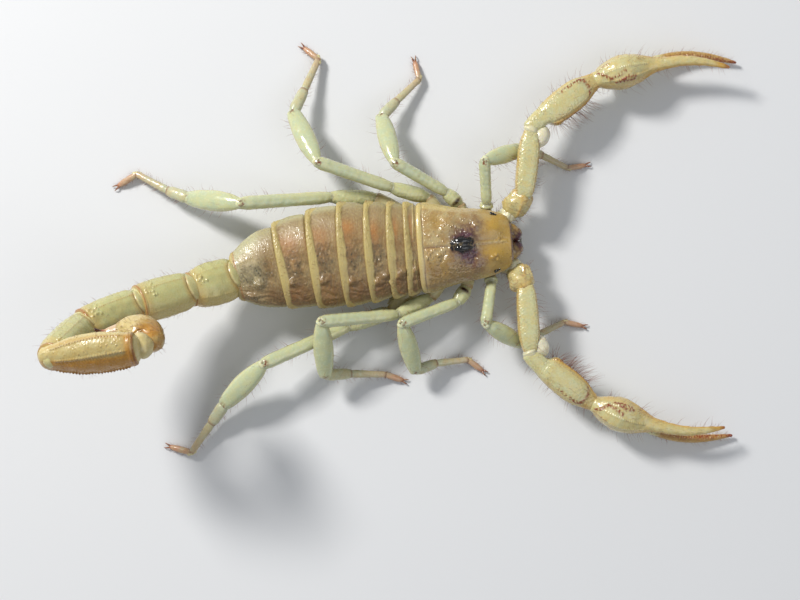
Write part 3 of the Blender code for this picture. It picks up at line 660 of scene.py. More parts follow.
def shape_tergite(ring, i):
    """Relief and markings of one trunk ring, with painted shade and light on its two sides."""
    s, side, a = ring.place, ring.angle, np.abs(ring.angle)
    length, half_width, last = TERGITE_LENGTHS[i], BAND_HALF_WIDTHS[i], i == LAST_TERGITE
    size = min(length / 4.5, 1.1)
    wobble, broad, cells = ring.noise(3.2, 10 + i), ring.noise(4.5, 60 + i), ring.noise(
        0.55, 30 + i)
    plate = fade(a, TERGITE_EDGE - 0.02, TERGITE_EDGE + 0.10)
    belly = edge(a, STERNITE_EDGE - 0.05, STERNITE_EDGE + 0.10)
    flank = (1 - plate) * (1 - belly)
    band_edge = BAND_WIDTH * (0.80 + 0.20 * size) * (0.5 if last else 1) * (
        1 + (0.05 if last else 0.24) * np.cos(3.2 * (side + 0.15)) + 0.06 * wobble
        + 0.6 * edge(a, 1.0, 1.4))
    band = fade(s, band_edge - 0.16, band_edge + 0.20) * plate
    field = plate * (1 - band)
    margin = np.where(side > 0, (0.45 if i < 4 else 0.8) * edge(side, *(
        (0.50, 1.10) if last else (0.95, 1.25))), 0.7 * edge(-side, 1.12, 1.34))

    rise = between(s, (-0.05, 0.22), (0.45 * band_edge, band_edge + 0.35))
    relief = 0.20 * rise * plate * (1 - 0.5 * margin) + 0.10 * margin * plate
    striae = sum(depth * hump(s, length - back * (0.6 + 0.5 * size) + 0.06 * wobble, 0.045)
                 for back, depth in STRIAE) * plate * clip(0.7 + 0.6 * broad)
    relief += 0.04 * striae - 0.30 * edge(s, length - 0.05, length + 0.35)
    crinkle = 1 - 0.85 * edge(side, -0.1, 0.4)
    relief += field * (crinkle * (0.018 * ring.noise(0.42, 20 + i) + 0.032 * cells)
                       + 0.06 * broad)
    rng = np.random.default_rng(400 + i)
    for _ in range(9):
        at, turn, dot = (rng.uniform(0.35, 0.85) * length, rng.uniform(-0.70, -0.08),
                         rng.uniform(0.16, 0.26))
        relief += 0.6 * dot * hump(s, at, dot) * hump(side, turn, dot / half_width) * field
    for at, turn in TERGITE_FOLDS[i]:
        relief += (0.48 if i < 3 else 0.60) * hump(s, at, 0.80) * hump(
            side, turn, 0.66 / half_width) * field
    grains = ring.grains(0.36, 40 + i)
    relief += 0.06 * grains * (field * (1 - 0.6 * margin) + 2.0 * band)
    relief += 0.03 * ring.noise(0.45, 50 + i) * band * edge(side, -0.3, 0.4)
    crease = np.sin(side * 26 + 2.2 * wobble + s * 1.3)
    relief -= 0.075 * crease * field * hump(side, -0.75, 0.42) * hump(s, length * 0.5,
                                                                      length * 0.32)
    for step, (at, depth) in enumerate(PITS):
        relief -= depth * field * hump(s, (1.75 + 0.35 * step) * size, 0.34 * size) * hump(
            side, at + 0.05 * (i % 3), 0.055)
    pleats = np.sin(s * 7.0 + 3 * wobble) * 0.05 + np.sin(a * 46 + 2 * wobble) * 0.035
    relief += flank * (pleats - 0.16 - 0.22 * hump(a, TERGITE_EDGE + 0.16, 0.10))
    relief += belly * (0.06 - 0.16 * hump(s, 0.22, 0.16) - 0.05 * hump(a, STERNITE_EDGE, 0.12))
    relief += tergite_extras(ring, i, plate, field, wobble, grains)
    ring.raise_by(relief)

    # light: painted light, the lamp-facing left side of each plate made paler; on the last ring
    # partly its own cream and partly painted sheen
    light = 0.22 * edge(side, 0.2, 0.9)
    near_band = edge(s, band_edge, band_edge + 0.3) * (1 - 0.75 * edge(s, length * 0.45,
                                                                       length * 0.85))
    if last:
        light = 0.75 * fade(s, 3.9, 6.4) * (0.35 + 0.65 * edge(side, -0.6, 0.4))
        near_band = 0.25 * between(s, (1.0, 2.0), (4.5, 6.5))
    orange = 0.85 * hump(side, 0.36, 0.38) + 0.45 * hump(side, -0.72, 0.35)
    blot = clip(0.70 + 0.40 * ring.noise(1.8, 66 + i)) * clip(0.80 + 0.30 * ring.noise(
        0.6, 76 + i))
    shade = hump(side, -0.08, 0.32) * (1.2 if i >= 2 else 0.45)
    shade = np.minimum(shade * hump(s, length * 0.50, length * 0.36) * blot, 0.50)
    shade = 1.1 * shade * (1 + ring.grains(0.5, 86 + i, 0.75))
    # right: painted shade on the right side of each plate, the side away from the lamp, in dusk and
    # brown
    right = edge(-side, 0.2, 0.8) * (1 - margin) * clip(0.75 + 0.4 * broad)
    ring.mark(pale=0.92 * band * clip(0.92 + 0.12 * wobble) + 0.30 * striae
              + 0.16 * field * clip(-cells - 0.2),
              soft=0.85 * flank + 0.85 * belly + 0.85 * margin * plate + light * field,
              blush=orange * near_band * field * (0.85 + 0.25 * broad)
              + 0.7 * hump(s, 0.75, 0.18) * plate * last,
              dusk=field * (shade + 0.36 * right),
              brown=field * (0.42 * right + 0.10 * clip(cells))
              # painted shade on the band's right side; the dark rear rim is partly its own brown
              # line and partly painted shadow where the band overhangs the next plate
              + 0.20 * band * edge(-side, 0.1, 0.9) + 0.35 * fade(s, 0.0, 0.10) * plate)


def tergite_extras(ring, i, plate, field, wobble, grains):
    """What single trunk rings have: a crease, a fold, spiracles, the last ring's keels."""
    s, side, a = ring.place, ring.angle, np.abs(ring.angle)
    if i == 0:
        crease = hump(s, 1.72 + 0.05 * wobble, 0.10) * plate * edge(a, 0.1, 0.3)
        ring.mark(pale=0.6 * crease)
        return 0.14 * crease
    if i == 1:
        fold = hump(side + 0.25 * (s - 1.2), -1.02, 0.05) * fade(s, 1.9, 2.4)
        ring.mark(blush=0.7 * fold)
        return 0.30 * fold * plate
    if i < LAST_TERGITE:
        slit = hump(s, TERGITE_LENGTHS[i] * 0.45, 0.16) * hump(a, 2.52, 0.055)
        ring.mark(brown=0.9 * slit)
        return -0.18 * slit
    keels = (hump(a, 0.40, 0.055) + hump(a, 0.92, 0.055)) * between(s, (0.6, 1.2), (3.4, 4.8))
    return (0.10 * keels * (0.5 + 0.5 * np.cos(s * 13.0 + 4 * wobble))
            - 0.15 * hump(side, 0.0, 0.45) * hump(s, 1.9, 0.9)
            + 0.06 * grains * field * edge(side, 0.1, 0.4))


# ---- front body --------------------------------------------------------------------------
# (height, ahead of the datum, its reach, aside, its reach)
LOBES = ((0.52, 11.8, 1.8, 2.3, 1.5), (0.30, 4.0, 1.6, 3.4, 1.8), (0.14, 8.4, 1.2, 3.9, 0.9),
         (-0.22, 2.9, 0.7, 4.3, 0.9))
# (ahead of the datum, left of the middle, size) of the glossy bumps
BUMPS = ((8.05, 1.80, 0.75), (8.95, 2.95, 0.56), (7.2, 2.1, 0.30), (11.3, -2.5, 0.36),
         (11.9, -2.1, 0.28), (12.1, -2.9, 0.24), (12.7, 0.5, 0.22), (2.4, -1.5, 0.34),
         (1.4, -0.9, 0.26), (0.7, -1.7, 0.24), (1.0, -1.3, 0.20), (1.9, -0.6, 0.20),
         (2.9, -0.8, 0.22), (0.8, -0.6, 0.18), (3.0, 2.6, 0.30), (1.3, 1.9, 0.22))
FURROW = ((0.1, 0.5), (3.8, 4.8))        # where the furrow behind the eyes starts and ends
STRIP = ((8.6, 9.4), (13.6, 14.3))       # the same of the pale line ahead of the eyes


def build_carapace():
    """The shield, with its eye hill, furrows, lobes, rear band and dark smudge."""
    back, front = SHIELD_OUTLINE[0][0], SHIELD_OUTLINE[-1][0]
    profile = [((d - back) / (front - back), wide, top - SHIELD_EDGE_HEIGHT, 0.95)
               for d, wide, top in SHIELD_OUTLINE]
    shield = Sweep([carapace_place(d, 0, SHIELD_EDGE_HEIGHT) for d in (back, front)], profile,
                   360, 210, 2.4, (0.02, 0.10))
    along = heading(CARAPACE_HEADING)
    ahead, left = ((shield.grid - np.array(DATUM)) @ np.array(axis)
                   for axis in (along, UP.cross(along)))
    top = edge(np.cos(shield.angle), 0.0, 0.25)
    wobble = shield.noise(2.4, 2)
    relief, grit = carapace_relief(shield, ahead, left, top)
    sag = BAND_SAGS[0] * fade(ahead, 0.0, 3.0) * clip(np.cos(shield.angle))
    shield.shift(-along, sag).raise_by(relief)
    mark_carapace(shield, ahead, left, top, wobble, grit)
    build_piece("carapace_shield", "carapace", "carapace_cuticle", [shield])
    COATS["body"].grow(shield, 60, (0.4, 0.8), 0.4, 310,
                       lambda t, a: (np.abs(a) < 1.45) * (0.3 + edge(t, 0.8, 0.98)))


def carapace_relief(shield, d, y, top):
    """Heights of the shield's skin, and its grit."""
    aside, back = np.abs(y), SHIELD_OUTLINE[0][0]
    hill = hump(d, EYE_HILL_AT, 1.9) * hump(y, 0, 1.2)
    roll = between(d, (back - 0.05, back + 0.2), (back + 0.45, back + 1.1)) * top
    relief = 0.95 * hill + 0.16 * roll - 0.05 * hump(d, back + 1.05, 0.16) * top
    for height, at, long, off, wide in LOBES:
        relief += height * hump(d, at, long) * hump(aside, off, wide)
    ripple = 1 + 0.5 * shield.noise(1.1, 7)
    relief += between(d, *STRIP) * (0.13 * hump(y, 0.10, 0.17) * ripple
                                    - 0.05 * hump(y, 0.50, 0.24) - 0.05 * hump(y, -0.32, 0.24))
    relief -= 0.26 * hump(y, -0.1, 0.20) * between(d, *FURROW)
    for at, off, size in BUMPS:
        steep = 0.90 if at > 10 else 0.46 if size > 0.5 else 0.62
        relief += steep * size * hump(d, at, size) * hump(y, off, size)
    relief -= 0.20 * hump(d, 4.2 - 0.55 * aside, 0.38) * hump(aside, 1.8, 1.6)
    relief -= 0.20 * hump(d, 9.2 - 0.35 * aside, 0.4) * hump(aside, 2.6, 1.2)
    rough = edge(d, 0.1, 0.8) * (1 - 0.85 * edge(d, 8.0, 10.0)) * top * (
        1 - 0.9 * hill ** 0.5) * (1 - 0.85 * hump(d, 8.2, 1.3) * hump(y, 2.2, 1.3))
    relief += rough * (0.016 * shield.noise(0.45, 3) + 0.03 * shield.noise(1.3, 4))
    grit = shield.grains(0.38, 5, 0.65)
    relief += 0.17 * grit * (rough * (0.5 + 0.5 * hump(aside, 1.8, 1.9)) + 0.08 * top)
    return relief + 0.10 * hump(np.abs(shield.angle), 1.46, 0.07), grit * rough


def mark_carapace(shield, d, y, top, wobble, grit):
    """Colours of the shield, with painted shade on its right side."""
    aside, turned, back = np.abs(y), np.abs(shield.angle), SHIELD_OUTLINE[0][0]
    back_edge = back + 0.85 + 0.05 * wobble
    reach = ((d - 6.2) * 4.0 + (aside - 0.6) * 3.4) / 5.25
    off = ((aside - 0.6) * 4.0 - (d - 6.2) * 3.4) / 5.25
    smudge = hump(off, 0, np.where(y > 0, 2.35, 1.95)) * edge(reach, -2.4, -0.4) * (
        1 - 0.45 * edge(reach, 1.6, 4.2) - 0.55 * edge(reach, 4.2, 6.2))
    smudge *= clip(0.90 + 0.20 * shield.noise(1.0, 6) + 0.10 * shield.noise(0.5, 8))
    core = np.sqrt(((d - EYE_HILL_AT) / 2.25) ** 2 + (y / 1.6) ** 2) + 0.12 * shield.noise(
        0.8, 9)
    black = fade(core, 0.72, 1.08)
    # shaded: painted shade on the shield's right side, away from the lamp, in dusk and blush
    shaded = edge(-y, 0.8, 3.2) * (1 - 0.8 * edge(d, 8.0, 11.0)) * edge(d, 0.2, 1.0)
    margin = np.where(y > 0, 0.75 * edge(turned, 0.92, 1.06), 0.4 * edge(turned, 1.15, 1.3))
    gold = edge(d - 0.35 * aside + 0.5 * wobble, 6.6, 11.0) * (
        1 - 0.45 * edge(aside, 3.9, 5.0)) * (
        0.78 + 0.40 * hump(d, 11.8, 2.1) * hump(aside, 2.3, 1.7))
    strip = between(d, *STRIP)
    shield.mark(
        dusk=1.2 * black + 0.55 * smudge * fade(core, 1.0, 2.1) + 0.26 * shaded,
        pale=0.9 * fade(d, back_edge - 0.08, back_edge + 0.10) * top
        + 0.45 * hump(y, 0.10, 0.16) * strip + margin * fade(d, 3.0, 7.5),
        blush=gold * top * (0.85 + 0.15 * wobble)
        + 0.65 * hump(d, 2.2, 0.9) * hump(aside, 4.3, 1.1) + 0.45 * shaded,
        brown=np.where(y > 0, 1.0, 1.2) * smudge * (1 - black)
        + 0.18 * hump(d, 1.9, 0.75) * hump(aside, 4.35, 0.8) + 0.12 * grit
        # painted shade on the right side
        + 0.20 * edge(-y, 1.0, 4.0) * fade(d, 7.0, 11.0)
        + 0.40 * hump(d, back_edge + 0.10, 0.07) * top
        + 0.55 * hump(y, -0.1, 0.16) * between(d, *FURROW)
        + 0.08 * (hump(y, 0.50, 0.16) + hump(y, -0.32, 0.16)) * strip
        + 0.14 * between(d, (8.6, 9.6), (11.5, 13.5)) * hump(aside, 0.2, 0.8)
        + 0.8 * edge(d, 14.62, 14.78),
        soft=0.55 * edge(turned, 1.05, 1.35) * fade(d, 9.5, 11.0))


def build_eyes():
    """Median eyes on the hill and three small lateral eyes at each front corner."""
    ahead = heading(CARAPACE_HEADING)
    for side_name, sign in SIDES:
        out = carapace_place(0.25, sign * 0.8, 1.0) - carapace_place(0, 0, 0)
        eye = ball(carapace_place(EYE_HILL_AT, sign * 0.62, 11.10), out, 0.50, 0.62, 0.72, 32,
                   20, up=ahead)
        brow = Sweep([carapace_place(EYE_HILL_AT + step, sign * y, z) for step, y, z in
                      ((-2.0, 0.42, 10.55), (-0.9, 0.60, 10.98), (0.5, 0.60, 11.04),
                       (1.9, 0.45, 10.52))],
                     [(0, 0.20), (0.3, 0.50, 0.50, 0.4), (0.7, 0.50, 0.50, 0.4), (1, 0.20)],
                     28, 50)
        brow.raise_by(0.02 * brow.noise(0.9, 59))
        build_piece("eye_" + side_name, "median_eye_" + side_name, "eye_black", [eye, brow])
        small = [ball(carapace_place(d, sign * y, 8.82 - 0.12 * step),
                      UP + heading(CARAPACE_HEADING + sign * 70), size, size * 1.15, size, 18,
                      12, up=heading(0))
                 for step, (d, y, size) in enumerate(((11.75, 4.95, 0.24), (12.13, 4.80, 0.23),
                                                      (12.48, 4.64, 0.18)))]
        build_piece("side_eyes_" + side_name, "lateral_eyes_" + side_name, "eye_black", small)


def build_chelicerae():
    """Stout jaws under the carapace's front edge, each with two dark toothed fingers."""
    for side_name, sign in SIDES:
        hand = Sweep([carapace_place(d, sign * y, z) for d, y, z in
                      ((12.2, 1.55, 6.1), (14.4, 1.66, 6.5), (16.0, 1.06, 6.15))],
                     [(0, 1.25, 1.1, 1.2), (0.4, 1.55, 1.4, 1.5), (0.75, 1.50, 1.35, 1.5),
                      (1.0, 1.12, 1.1, 1.15)], 56, 60, 2.1, (0.3, 0.75))
        net = hand.net(1.3, 70, 0.10, 0.55)
        near, tip = edge(hand.t, 0.50, 0.80), edge(hand.t, 0.80, 1.0)
        inside = edge(hand.angle * -sign, -0.9, 0.5)
        hand.raise_by(0.03 * net * near + 0.02 * hand.noise(0.9, 71))
        hand.mark(blush=0.8 * near,
                  brown=(0.48 + 0.4 * net) * near * (0.4 + 0.6 * inside) + 0.3 * tip,
                  dusk=(0.55 * net * near + 0.95 * tip) * (0.12 + 0.88 * inside))
        sweeps = [hand]
        for turn, rise, reach in ((1, 0.15, 1.15), (-1, -0.45, 1.05)):
            root = carapace_place(15.7, sign * (0.95 + 0.42 * turn), 5.55 + rise)
            path = [root, root + Vector((0.60, sign * 0.05 * turn, -0.10)),
                    root + Vector((reach, -sign * 0.40, -0.60))]
            finger = Sweep(path, [(0, 0.50, 0.50, 0.46), (0.5, 0.40, 0.38, 0.36), (1, 0.14)],
                           20, 20)
            sweeps.append(finger.mark(dusk=0.9))
        build_piece("jaw_" + side_name, "chelicera_" + side_name, "carapace_cuticle", sweeps)
        COATS["body"].grow(hand, 70, (0.3, 0.7), 0.6, 312, lambda t, a: edge(t, 0.6, 0.9))


def build_underside():
    """Sternum, eight leg coxae, the genital plates and the soft floor of the prosoma."""
    floor = Sweep((carapace_place(-4.6, 0, 4.6), carapace_place(10.6, 0, 4.8)),
                  [(0, 3.6, 1.6, 1.9), (0.3, 5.2, 1.8, 1.9), (0.6, 5.2, 1.8, 1.7),
                   (1, 3.6, 1.6, 1.4)], 72, 60, 2.5, (0.1, 0.2))
    floor.raise_by(0.07 * floor.noise(1.2, 80)).mark(soft=0.8)
    sweeps = [floor]
    for side_name, sign in SIDES:
        for pair, (d, y, wide) in enumerate(((9.8, 1.0, 1.25), (7.6, 1.1, 1.3), (5.2, 1.3, 1.35),
                                             (3.0, 1.4, 1.45))):
            hip = leg_points(side_name, pair)[0]
            inner = carapace_place(d, sign * y, 3.45)
            coxa = Sweep((inner, inner.lerp(hip, 0.55) - UP * 0.35, hip),
                         [(0, wide * 0.8, 1.0, 1.05), (0.3, wide, 1.25, 1.3),
                          (0.8, wide * 0.95, 1.25, 1.25), (1, wide * 0.75, 1.0, 1.0)],
                         36, 40, 2.4, (0.5, 0.5))
            coxa.raise_by(0.03 * coxa.noise(0.8, 81 + pair)).keels((2.2, -2.2), 0.08, 0.12, 0.5,
                                                                   0.25)
            sweeps.append(coxa.mark(brown=0.5 * edge(coxa.t, 0.95, 1.02)))
    for d, length, width in ((6.4, 1.5, 0.95), (2.1, 0.95, 1.5)):
        plate = ball(carapace_place(d, 0, 2.75), heading(CARAPACE_HEADING), length, width, 0.55,
                     32, 16)
        sweeps.append(plate.raise_by(-0.15 * hump(np.abs(plate.angle), math.pi, 0.1)))
    build_piece("prosoma_underside", "coxosternum", "belly_cuticle", sweeps)


def build_pectines():
    """The combs: a jointed shaft of small plates and a row of pegs along its rear edge."""
    teeth = 30
    for side_name, sign in SIDES:
        def comb(t, back, height=1.6):
            return carapace_place(-3.4 - 2.4 * t * t - back, sign * (0.8 + 8.2 * t), height)
        shaft = Sweep([comb(t, -0.15) for t in (0, 0.25, 0.5, 0.75, 1.0)],
                      [(0, 0.62, 0.24, 0.24), (0.5, 0.52, 0.22, 0.22), (1, 0.3, 0.16, 0.16)],
                      24, 60, 2.6)
        sweeps = [shaft.raise_by(-0.06 * hump(np.sin(shaft.place * 2.1), 0, 0.2))]
        for t in (np.arange(teeth) + 0.6) / teeth:
            sweeps.append(Sweep((comb(t, 0.25, 1.58), comb(t + 0.012, 1.75 - 0.55 * t, 1.42)),
                                [(0, 0.12), (0.75, 0.135, 0.14, 0.14), (1, 0.09, 0.10, 0.10)],
                                8, 5))
        build_piece("comb_" + side_name, "pecten_" + side_name, "belly_cuticle", sweeps)


# ---- tail --------------------------------------------------------------------------------
LAST_RING = 4
DORSAL_KEELS = (0.66, -0.66)
SIDE_KEELS = (1.25, -1.25)
LOWER_KEELS = (2.20, -2.20, 2.80, -2.80)
KEEL_BROWN = (0.25, 0.55, 0.85, 0.75)
LAST_KEELS = (-1.75, -2.64, 2.35)        # the fifth segment is rolled a little about its axis
KEEL_SPAN = (0.16, 0.93)
TAIL_TUCKS = (1.2, 0.9, 0.9, 0.9, 0.80)  # how far each segment reaches into the one before
TAIL_BARREL = ((0, 0.80), (0.10, 0.90), (0.35, 0.98), (0.65, 1.0), (0.90, 0.96), (1, 0.92))
TAIL_FIRST = ((0, 0.82), (0.12, 0.94), (0.36, 1.0), (0.60, 0.99), (0.80, 0.91), (0.92, 0.80),
              (1, 0.76))
TAIL_BENT = ((0, 0.84), (0.10, 0.94), (0.30, 1.0), (0.60, 1.0), (0.85, 0.95), (1, 0.80))
TAIL_SPINDLE = ((0, 0.62), (0.07, 0.68), (0.14, 0.77), (0.30, 0.92), (0.51, 1.0), (0.70, 0.98),
                (0.86, 0.90), (1, 0.80))
TAIL_SHAPES = (TAIL_FIRST, TAIL_BARREL, TAIL_BARREL, TAIL_BENT, TAIL_SPINDLE)
KNUCKLE_SHARES = (0.72, 0.80, 0.80, 0.58)


def build_tail():
    """Five keeled rings with browned rims, soft joints and the swollen telson with its sting."""
    points, ups = tail_points(), tail_ups()
    for i, tucked in enumerate(TAIL_TUCKS):
        wide, deep, last = TAIL_WIDTHS[i] / 2, TAIL_DEPTHS[i] / 2, i == LAST_RING
        run = heading(TAIL_HEADINGS[i], TAIL_PITCHES[i])
        start, end = points[i] - run * tucked, points[i + 1] - run * 0.10
        length = (end - start).length
        shape = [(0, 0.55 if last else 0.70)] + [
            ((tucked + t * (length - tucked)) / length, k) for t, k in TAIL_SHAPES[i]]
        ring = Sweep((start, end), [(t, wide * k, deep * k, deep * k) for t, k in shape], 128,
                     int(length / FINE_STEP), 2.05, (0.6 if last else 0.25, 0.08), ups[i])
        shape_tail_ring(ring, i, tucked)
        if last:
            soft = ball(points[5] - run * 0.25, run, 1.05, wide * 0.70, deep * 0.72, 48, 20,
                        2.2, ups[i]).mark(pale=0.7)
        else:
            fit = KNUCKLE_SHARES[i]
            soft = knuckle(points, i + 1, wide * fit, deep * fit, ups[i], long=i == 3)
        build_piece("tail_ring_%d" % (i + 1), "metasoma_%d" % (i + 1), "tail_cuticle",
                    [ring, soft], "telson_cuticle" if last else None)
        COATS["body"].grow(ring, 60, (0.6, 1.6), 0.35, 320 + i, lambda t, a: (
            0.15 + edge(np.abs(a), 0.9, 1.3)) * (t > 0.12))
    build_telson(points[-1])


def shape_tail_ring(ring, i, tucked):
    """Relief and markings of one tail segment, with some painted shade on its right side.

    The first four run backwards, so their positive angles are on the animal's right.
    """
    place, a, to_rim = ring.place, ring.angle, ring.length - ring.place
    aside = np.abs(a)
    relief = 0.035 * ring.noise(2.0, 90 + i) + 0.09 * ring.grains(0.40, 95 + i) * (
        0.35 + 0.65 * edge(aside, 0.35, 0.7)) * fade(aside, 2.6, 2.9)
    relief += 0.06 * fade(to_rim, 0.25, 0.42) - 0.03 * hump(to_rim, 0.52, 0.10)
    near = fade(to_rim, 0.3, 2.4)
    ring.mark(blush=0.40 * near,
              brown=0.80 * hump(to_rim, 0.06, 0.26 if i == 2 else 0.12) + 0.04 * near)
    if i == LAST_RING:
        shape_last_ring(ring.raise_by(relief), to_rim)
        return
    relief -= 0.09 * hump(a, 0, 0.30) * between(ring.t, (0.12, 0.25), (0.82, 0.95))
    bound = tucked + (0.25 if i else 0.15) + (1.0 if i else 1.7) * (
        1 - ((a + 0.25) / 0.95) ** 2)   # the curved front end of the joint's skin
    lens = fade(place, bound - 0.12, bound + 0.05) * (aside < 0.95)
    relief += 0.10 * lens - 0.14 * hump(place, bound + 0.08, 0.16) * (aside < 1.1)
    rng = np.random.default_rng(420 + i)
    for _ in range(12):
        at, turn, size = (rng.uniform(0.7, 2.6), rng.uniform(-0.95, -0.15),
                          rng.uniform(0.13, 0.21))
        relief += 1.2 * size * hump(to_rim, at, size) * hump(a, turn, 2 * size / TAIL_WIDTHS[i])
    ring.raise_by(relief)
    shade = hump(place, bound + 0.45, 0.40) * fade(aside, 0.7, 1.0)
    arc = hump(place, bound + 0.06, 0.11) * fade(aside, 0.85, 1.05)
    # right: the lower flank's own orange, and over the right half a warmer tone that is painted
    # shade
    right = (0.55 * edge(a, 0.75, 1.6) if i == 3 else
             0.15 * edge(a, 0.9, 1.6) + 0.42 * edge(a, 0.0, 0.9))
    ring.mark(pale=0.45 * lens, blush=0.40 * shade + right, brown=0.50 * arc + 0.12 * shade)
    ring.keel(DORSAL_KEELS[0], 0.08, 0.045, 0.36, 0.35 * KEEL_BROWN[i], KEEL_SPAN)
    ring.keel(DORSAL_KEELS[1], 0.08, 0.045, 0.36, KEEL_BROWN[i], KEEL_SPAN)
    ring.keels(SIDE_KEELS, 0.10, 0.06, 0.42, 0.35, KEEL_SPAN)
    ring.keels(LOWER_KEELS, 0.09, 0.05, 0.5, 0.3, KEEL_SPAN)


def shape_last_ring(ring, to_rim):
    """The rolled fifth segment's own keels, warm lower face, pale flank and raised rim."""
    upper, middle, lower = LAST_KEELS
    turned = wrapped(ring.angle - middle)
    ring.keel(middle - 0.10, 0.26, 0.055, 0.46, 0.60, (0.08, 0.94), 0.30)
    ring.keel(upper, 0.20, 0.050, 0.46, 1.3, (0.06, 0.92), 0.45)
    ring.keel(lower, 0.34, 0.065, 0.50, 1.5, (0.05, 0.96))
    ring.keel(upper + 0.62, 0.12, 0.05, 0.5, 0.30, (0.20, 0.92))
    ring.keels(DORSAL_KEELS, 0.12, 0.06, 0.5, 0.5, (0.10, 0.95))
    specks = ring.grains(0.75, 99, 1.15)
    ring.raise_by(0.12 * specks + 0.014 * ring.noise(0.5, 89))
    rim = hump(to_rim, 0.50, 0.24)
    ring.raise_by(0.16 * rim)
    ring.mark(blush=0.95 * between(-turned, (0.05, 0.35), (1.5, 2.0))
              + 0.45 * hump(turned, 1.05, 0.15) + 0.8 * hump(to_rim, 0.75, 0.5),
              brown=0.45 * specks + 0.35 * rim,
              pale=0.35 * fade(ring.t, 0.03, 0.09) + 0.25 * hump(turned, 0.42, 0.36)
              + 0.75 * hump(turned, 1.45, 0.40))


def build_telson(origin):
    """The vesicle on its soft stalk and its curved dark sting."""
    up = Vector((0.6, 0.1, 0.8))
    bulb = Sweep([origin + Vector(p) for p in VESICLE_AXIS],
                 [(k / 4, r, r * 0.92, r * 0.98) for k, r in enumerate(VESICLE_HALF_WIDTHS)],
                 112, 96, 2.0, (0.4, 0.3), up)
    grit, broad, net = bulb.grains(0.8, 110, 1.0), bulb.noise(2.4, 112), bulb.net(1.5, 113,
                                                                                  0.02, 0.22)
    rows = clip(np.cos(bulb.angle * 6)) ** 6 * edge(bulb.t, 0.1, 0.3)
    bulb.raise_by(0.03 * bulb.noise(1.2, 111) + 0.14 * grit - 0.06 * rows - 0.03 * net)
    far = edge(bulb.t, 0.30, 0.62)
    bulb.mark(blush=0.85 * (1 - far) * clip(0.9 + 0.3 * broad) + 0.25 * far, pale=0.65 * far,
              brown=0.55 * grit + 0.45 * edge(bulb.t, 0.90, 1.05) + 0.22 * net
              + 0.18 * hump(bulb.t, 0.3, 0.2))
    stalk = ball(origin + Vector((0.7, 0.35, -1.35)), (0.9, 0.2, -1.2), 2.0, 2.15, 1.8, 56, 40,
                 up=up)
    stalk.raise_by(0.07 * stalk.noise(2.0, 114) + 0.02 * stalk.noise(0.8, 109))
    stalk.mark(pale=0.70 + 0.15 * stalk.noise(1.4, 114), brown=0.12 * clip(stalk.noise(1.1, 108)))
    build_piece("telson_bulb", "telson_vesicle", "telson_cuticle", [bulb, stalk])
    COATS["body"].grow(bulb, 130, (0.5, 1.5), 0.25, 330)
    thorn = Sweep([origin + Vector(p) for p in (VESICLE_AXIS[-1], *ACULEUS_AXIS)],
                  [(k / 4, r) for k, r in enumerate((1.25, *ACULEUS_RADII))], 28, 50, 2.0,
                  (0.2, 1.6), up)
    thorn.mark(dusk=0.9 * edge(thorn.t, 0.7, 0.95), pale=0.95 * fade(thorn.t, 0.4, 0.75))
    build_piece("sting", "aculeus", "horn_brown", [thorn])


# ---- pedipalps ---------------------------------------------------------------------------
COXA_SHAPE = ((0, 0.8), (0.4, 1.0), (0.8, 0.85), (1, 0.7))
TROCHANTER_SHAPE = ((0, 0.62), (0.2, 0.88), (0.5, 1.05), (0.75, 1.08), (0.9, 0.96), (1, 0.78))
PALP_FEMUR_SHAPE = ((0, 0.76), (0.06, 0.88), (0.25, 1.02), (0.5, 1.06), (0.72, 1.04),
                    (0.86, 0.90), (0.95, 0.74), (1, 0.62))
PALP_PATELLA_SHAPE = ((0, 0.52), (0.12, 0.63), (0.22, 0.69), (0.30, 0.86), (0.40, 0.97),
                      (0.57, 1.03), (0.75, 0.96), (0.90, 0.70), (1, 0.54))
PATELLA_BOWS = ((0, 0.40), (0.12, 0.50), (0.25, 0.50), (0.36, 0.30), (0.57, 0.20),
                (0.75, 0.20), (0.9, 0.08), (1, 0))      # (share of its length, outward)
PALM_BOWS = ((0, 0, 0), (0.2, 0.2, 0), (0.45, 0.3, 0.1), (0.7, 0.3, 0.45),
             (1, 0.1, 1.35))                            # (share of its length, outward, up)
PALM_PROFILE = ((0, 0.48, 0.42, 0.42), (0.05, 0.52, 0.50, 0.50), (0.12, 0.66, 0.66, 0.66),
                (0.2, 0.78, 0.82, 0.82), (0.42, 1.0, 1.0, 1.0), (0.7, 0.84, 0.84, 0.86),
                (0.9, 0.56, 0.50, 0.52))
FIXED_FINGER = ((0.0, 1.30), (0.10, 1.12), (0.3, 0.94), (0.6, 0.74), (0.85, 0.50), (1.0, 0.26))
MOVING_FINGER = ((0, 1.25), (0.12, 1.15), (0.35, 0.98), (0.6, 0.78), (0.85, 0.50), (1, 0.24))
PALM_KEELS = ((0.15, 0.20), (0.75, 0.16), (-0.5, 0.18), (-1.2, 0.12), (1.7, 0.10), (2.5, 0.10),
              (-2.3, 0.10))              # (angle, height)
# the browned rows of a palm: start and end as (share of its length, angle), strength
PALM_ROWS = (((0.04, 0.50), (0.19, -0.34), 1.0), ((0.19, -0.34), (0.46, -0.05), 0.9),
             ((0.27, -0.62), (0.50, -0.36), 1.0), ((0.50, -0.36), (0.62, -0.50), 0.8),
             ((0.27, -0.62), (0.60, -0.62), 0.9), ((0.05, 0.85), (0.24, 0.75), 0.5))
TOOTH_STEP = 0.45
FINGER_POINTS = 7


def build_palp_piece(part, side_name, sweeps, slot_name="limb_cuticle"):
    """One piece of a pedipalp, named after its part and side."""
    build_piece("palp_%s_%s" % (part, side_name), "palp_%s_%s" % (side_name, part), slot_name,
                sweeps, "palp_look")


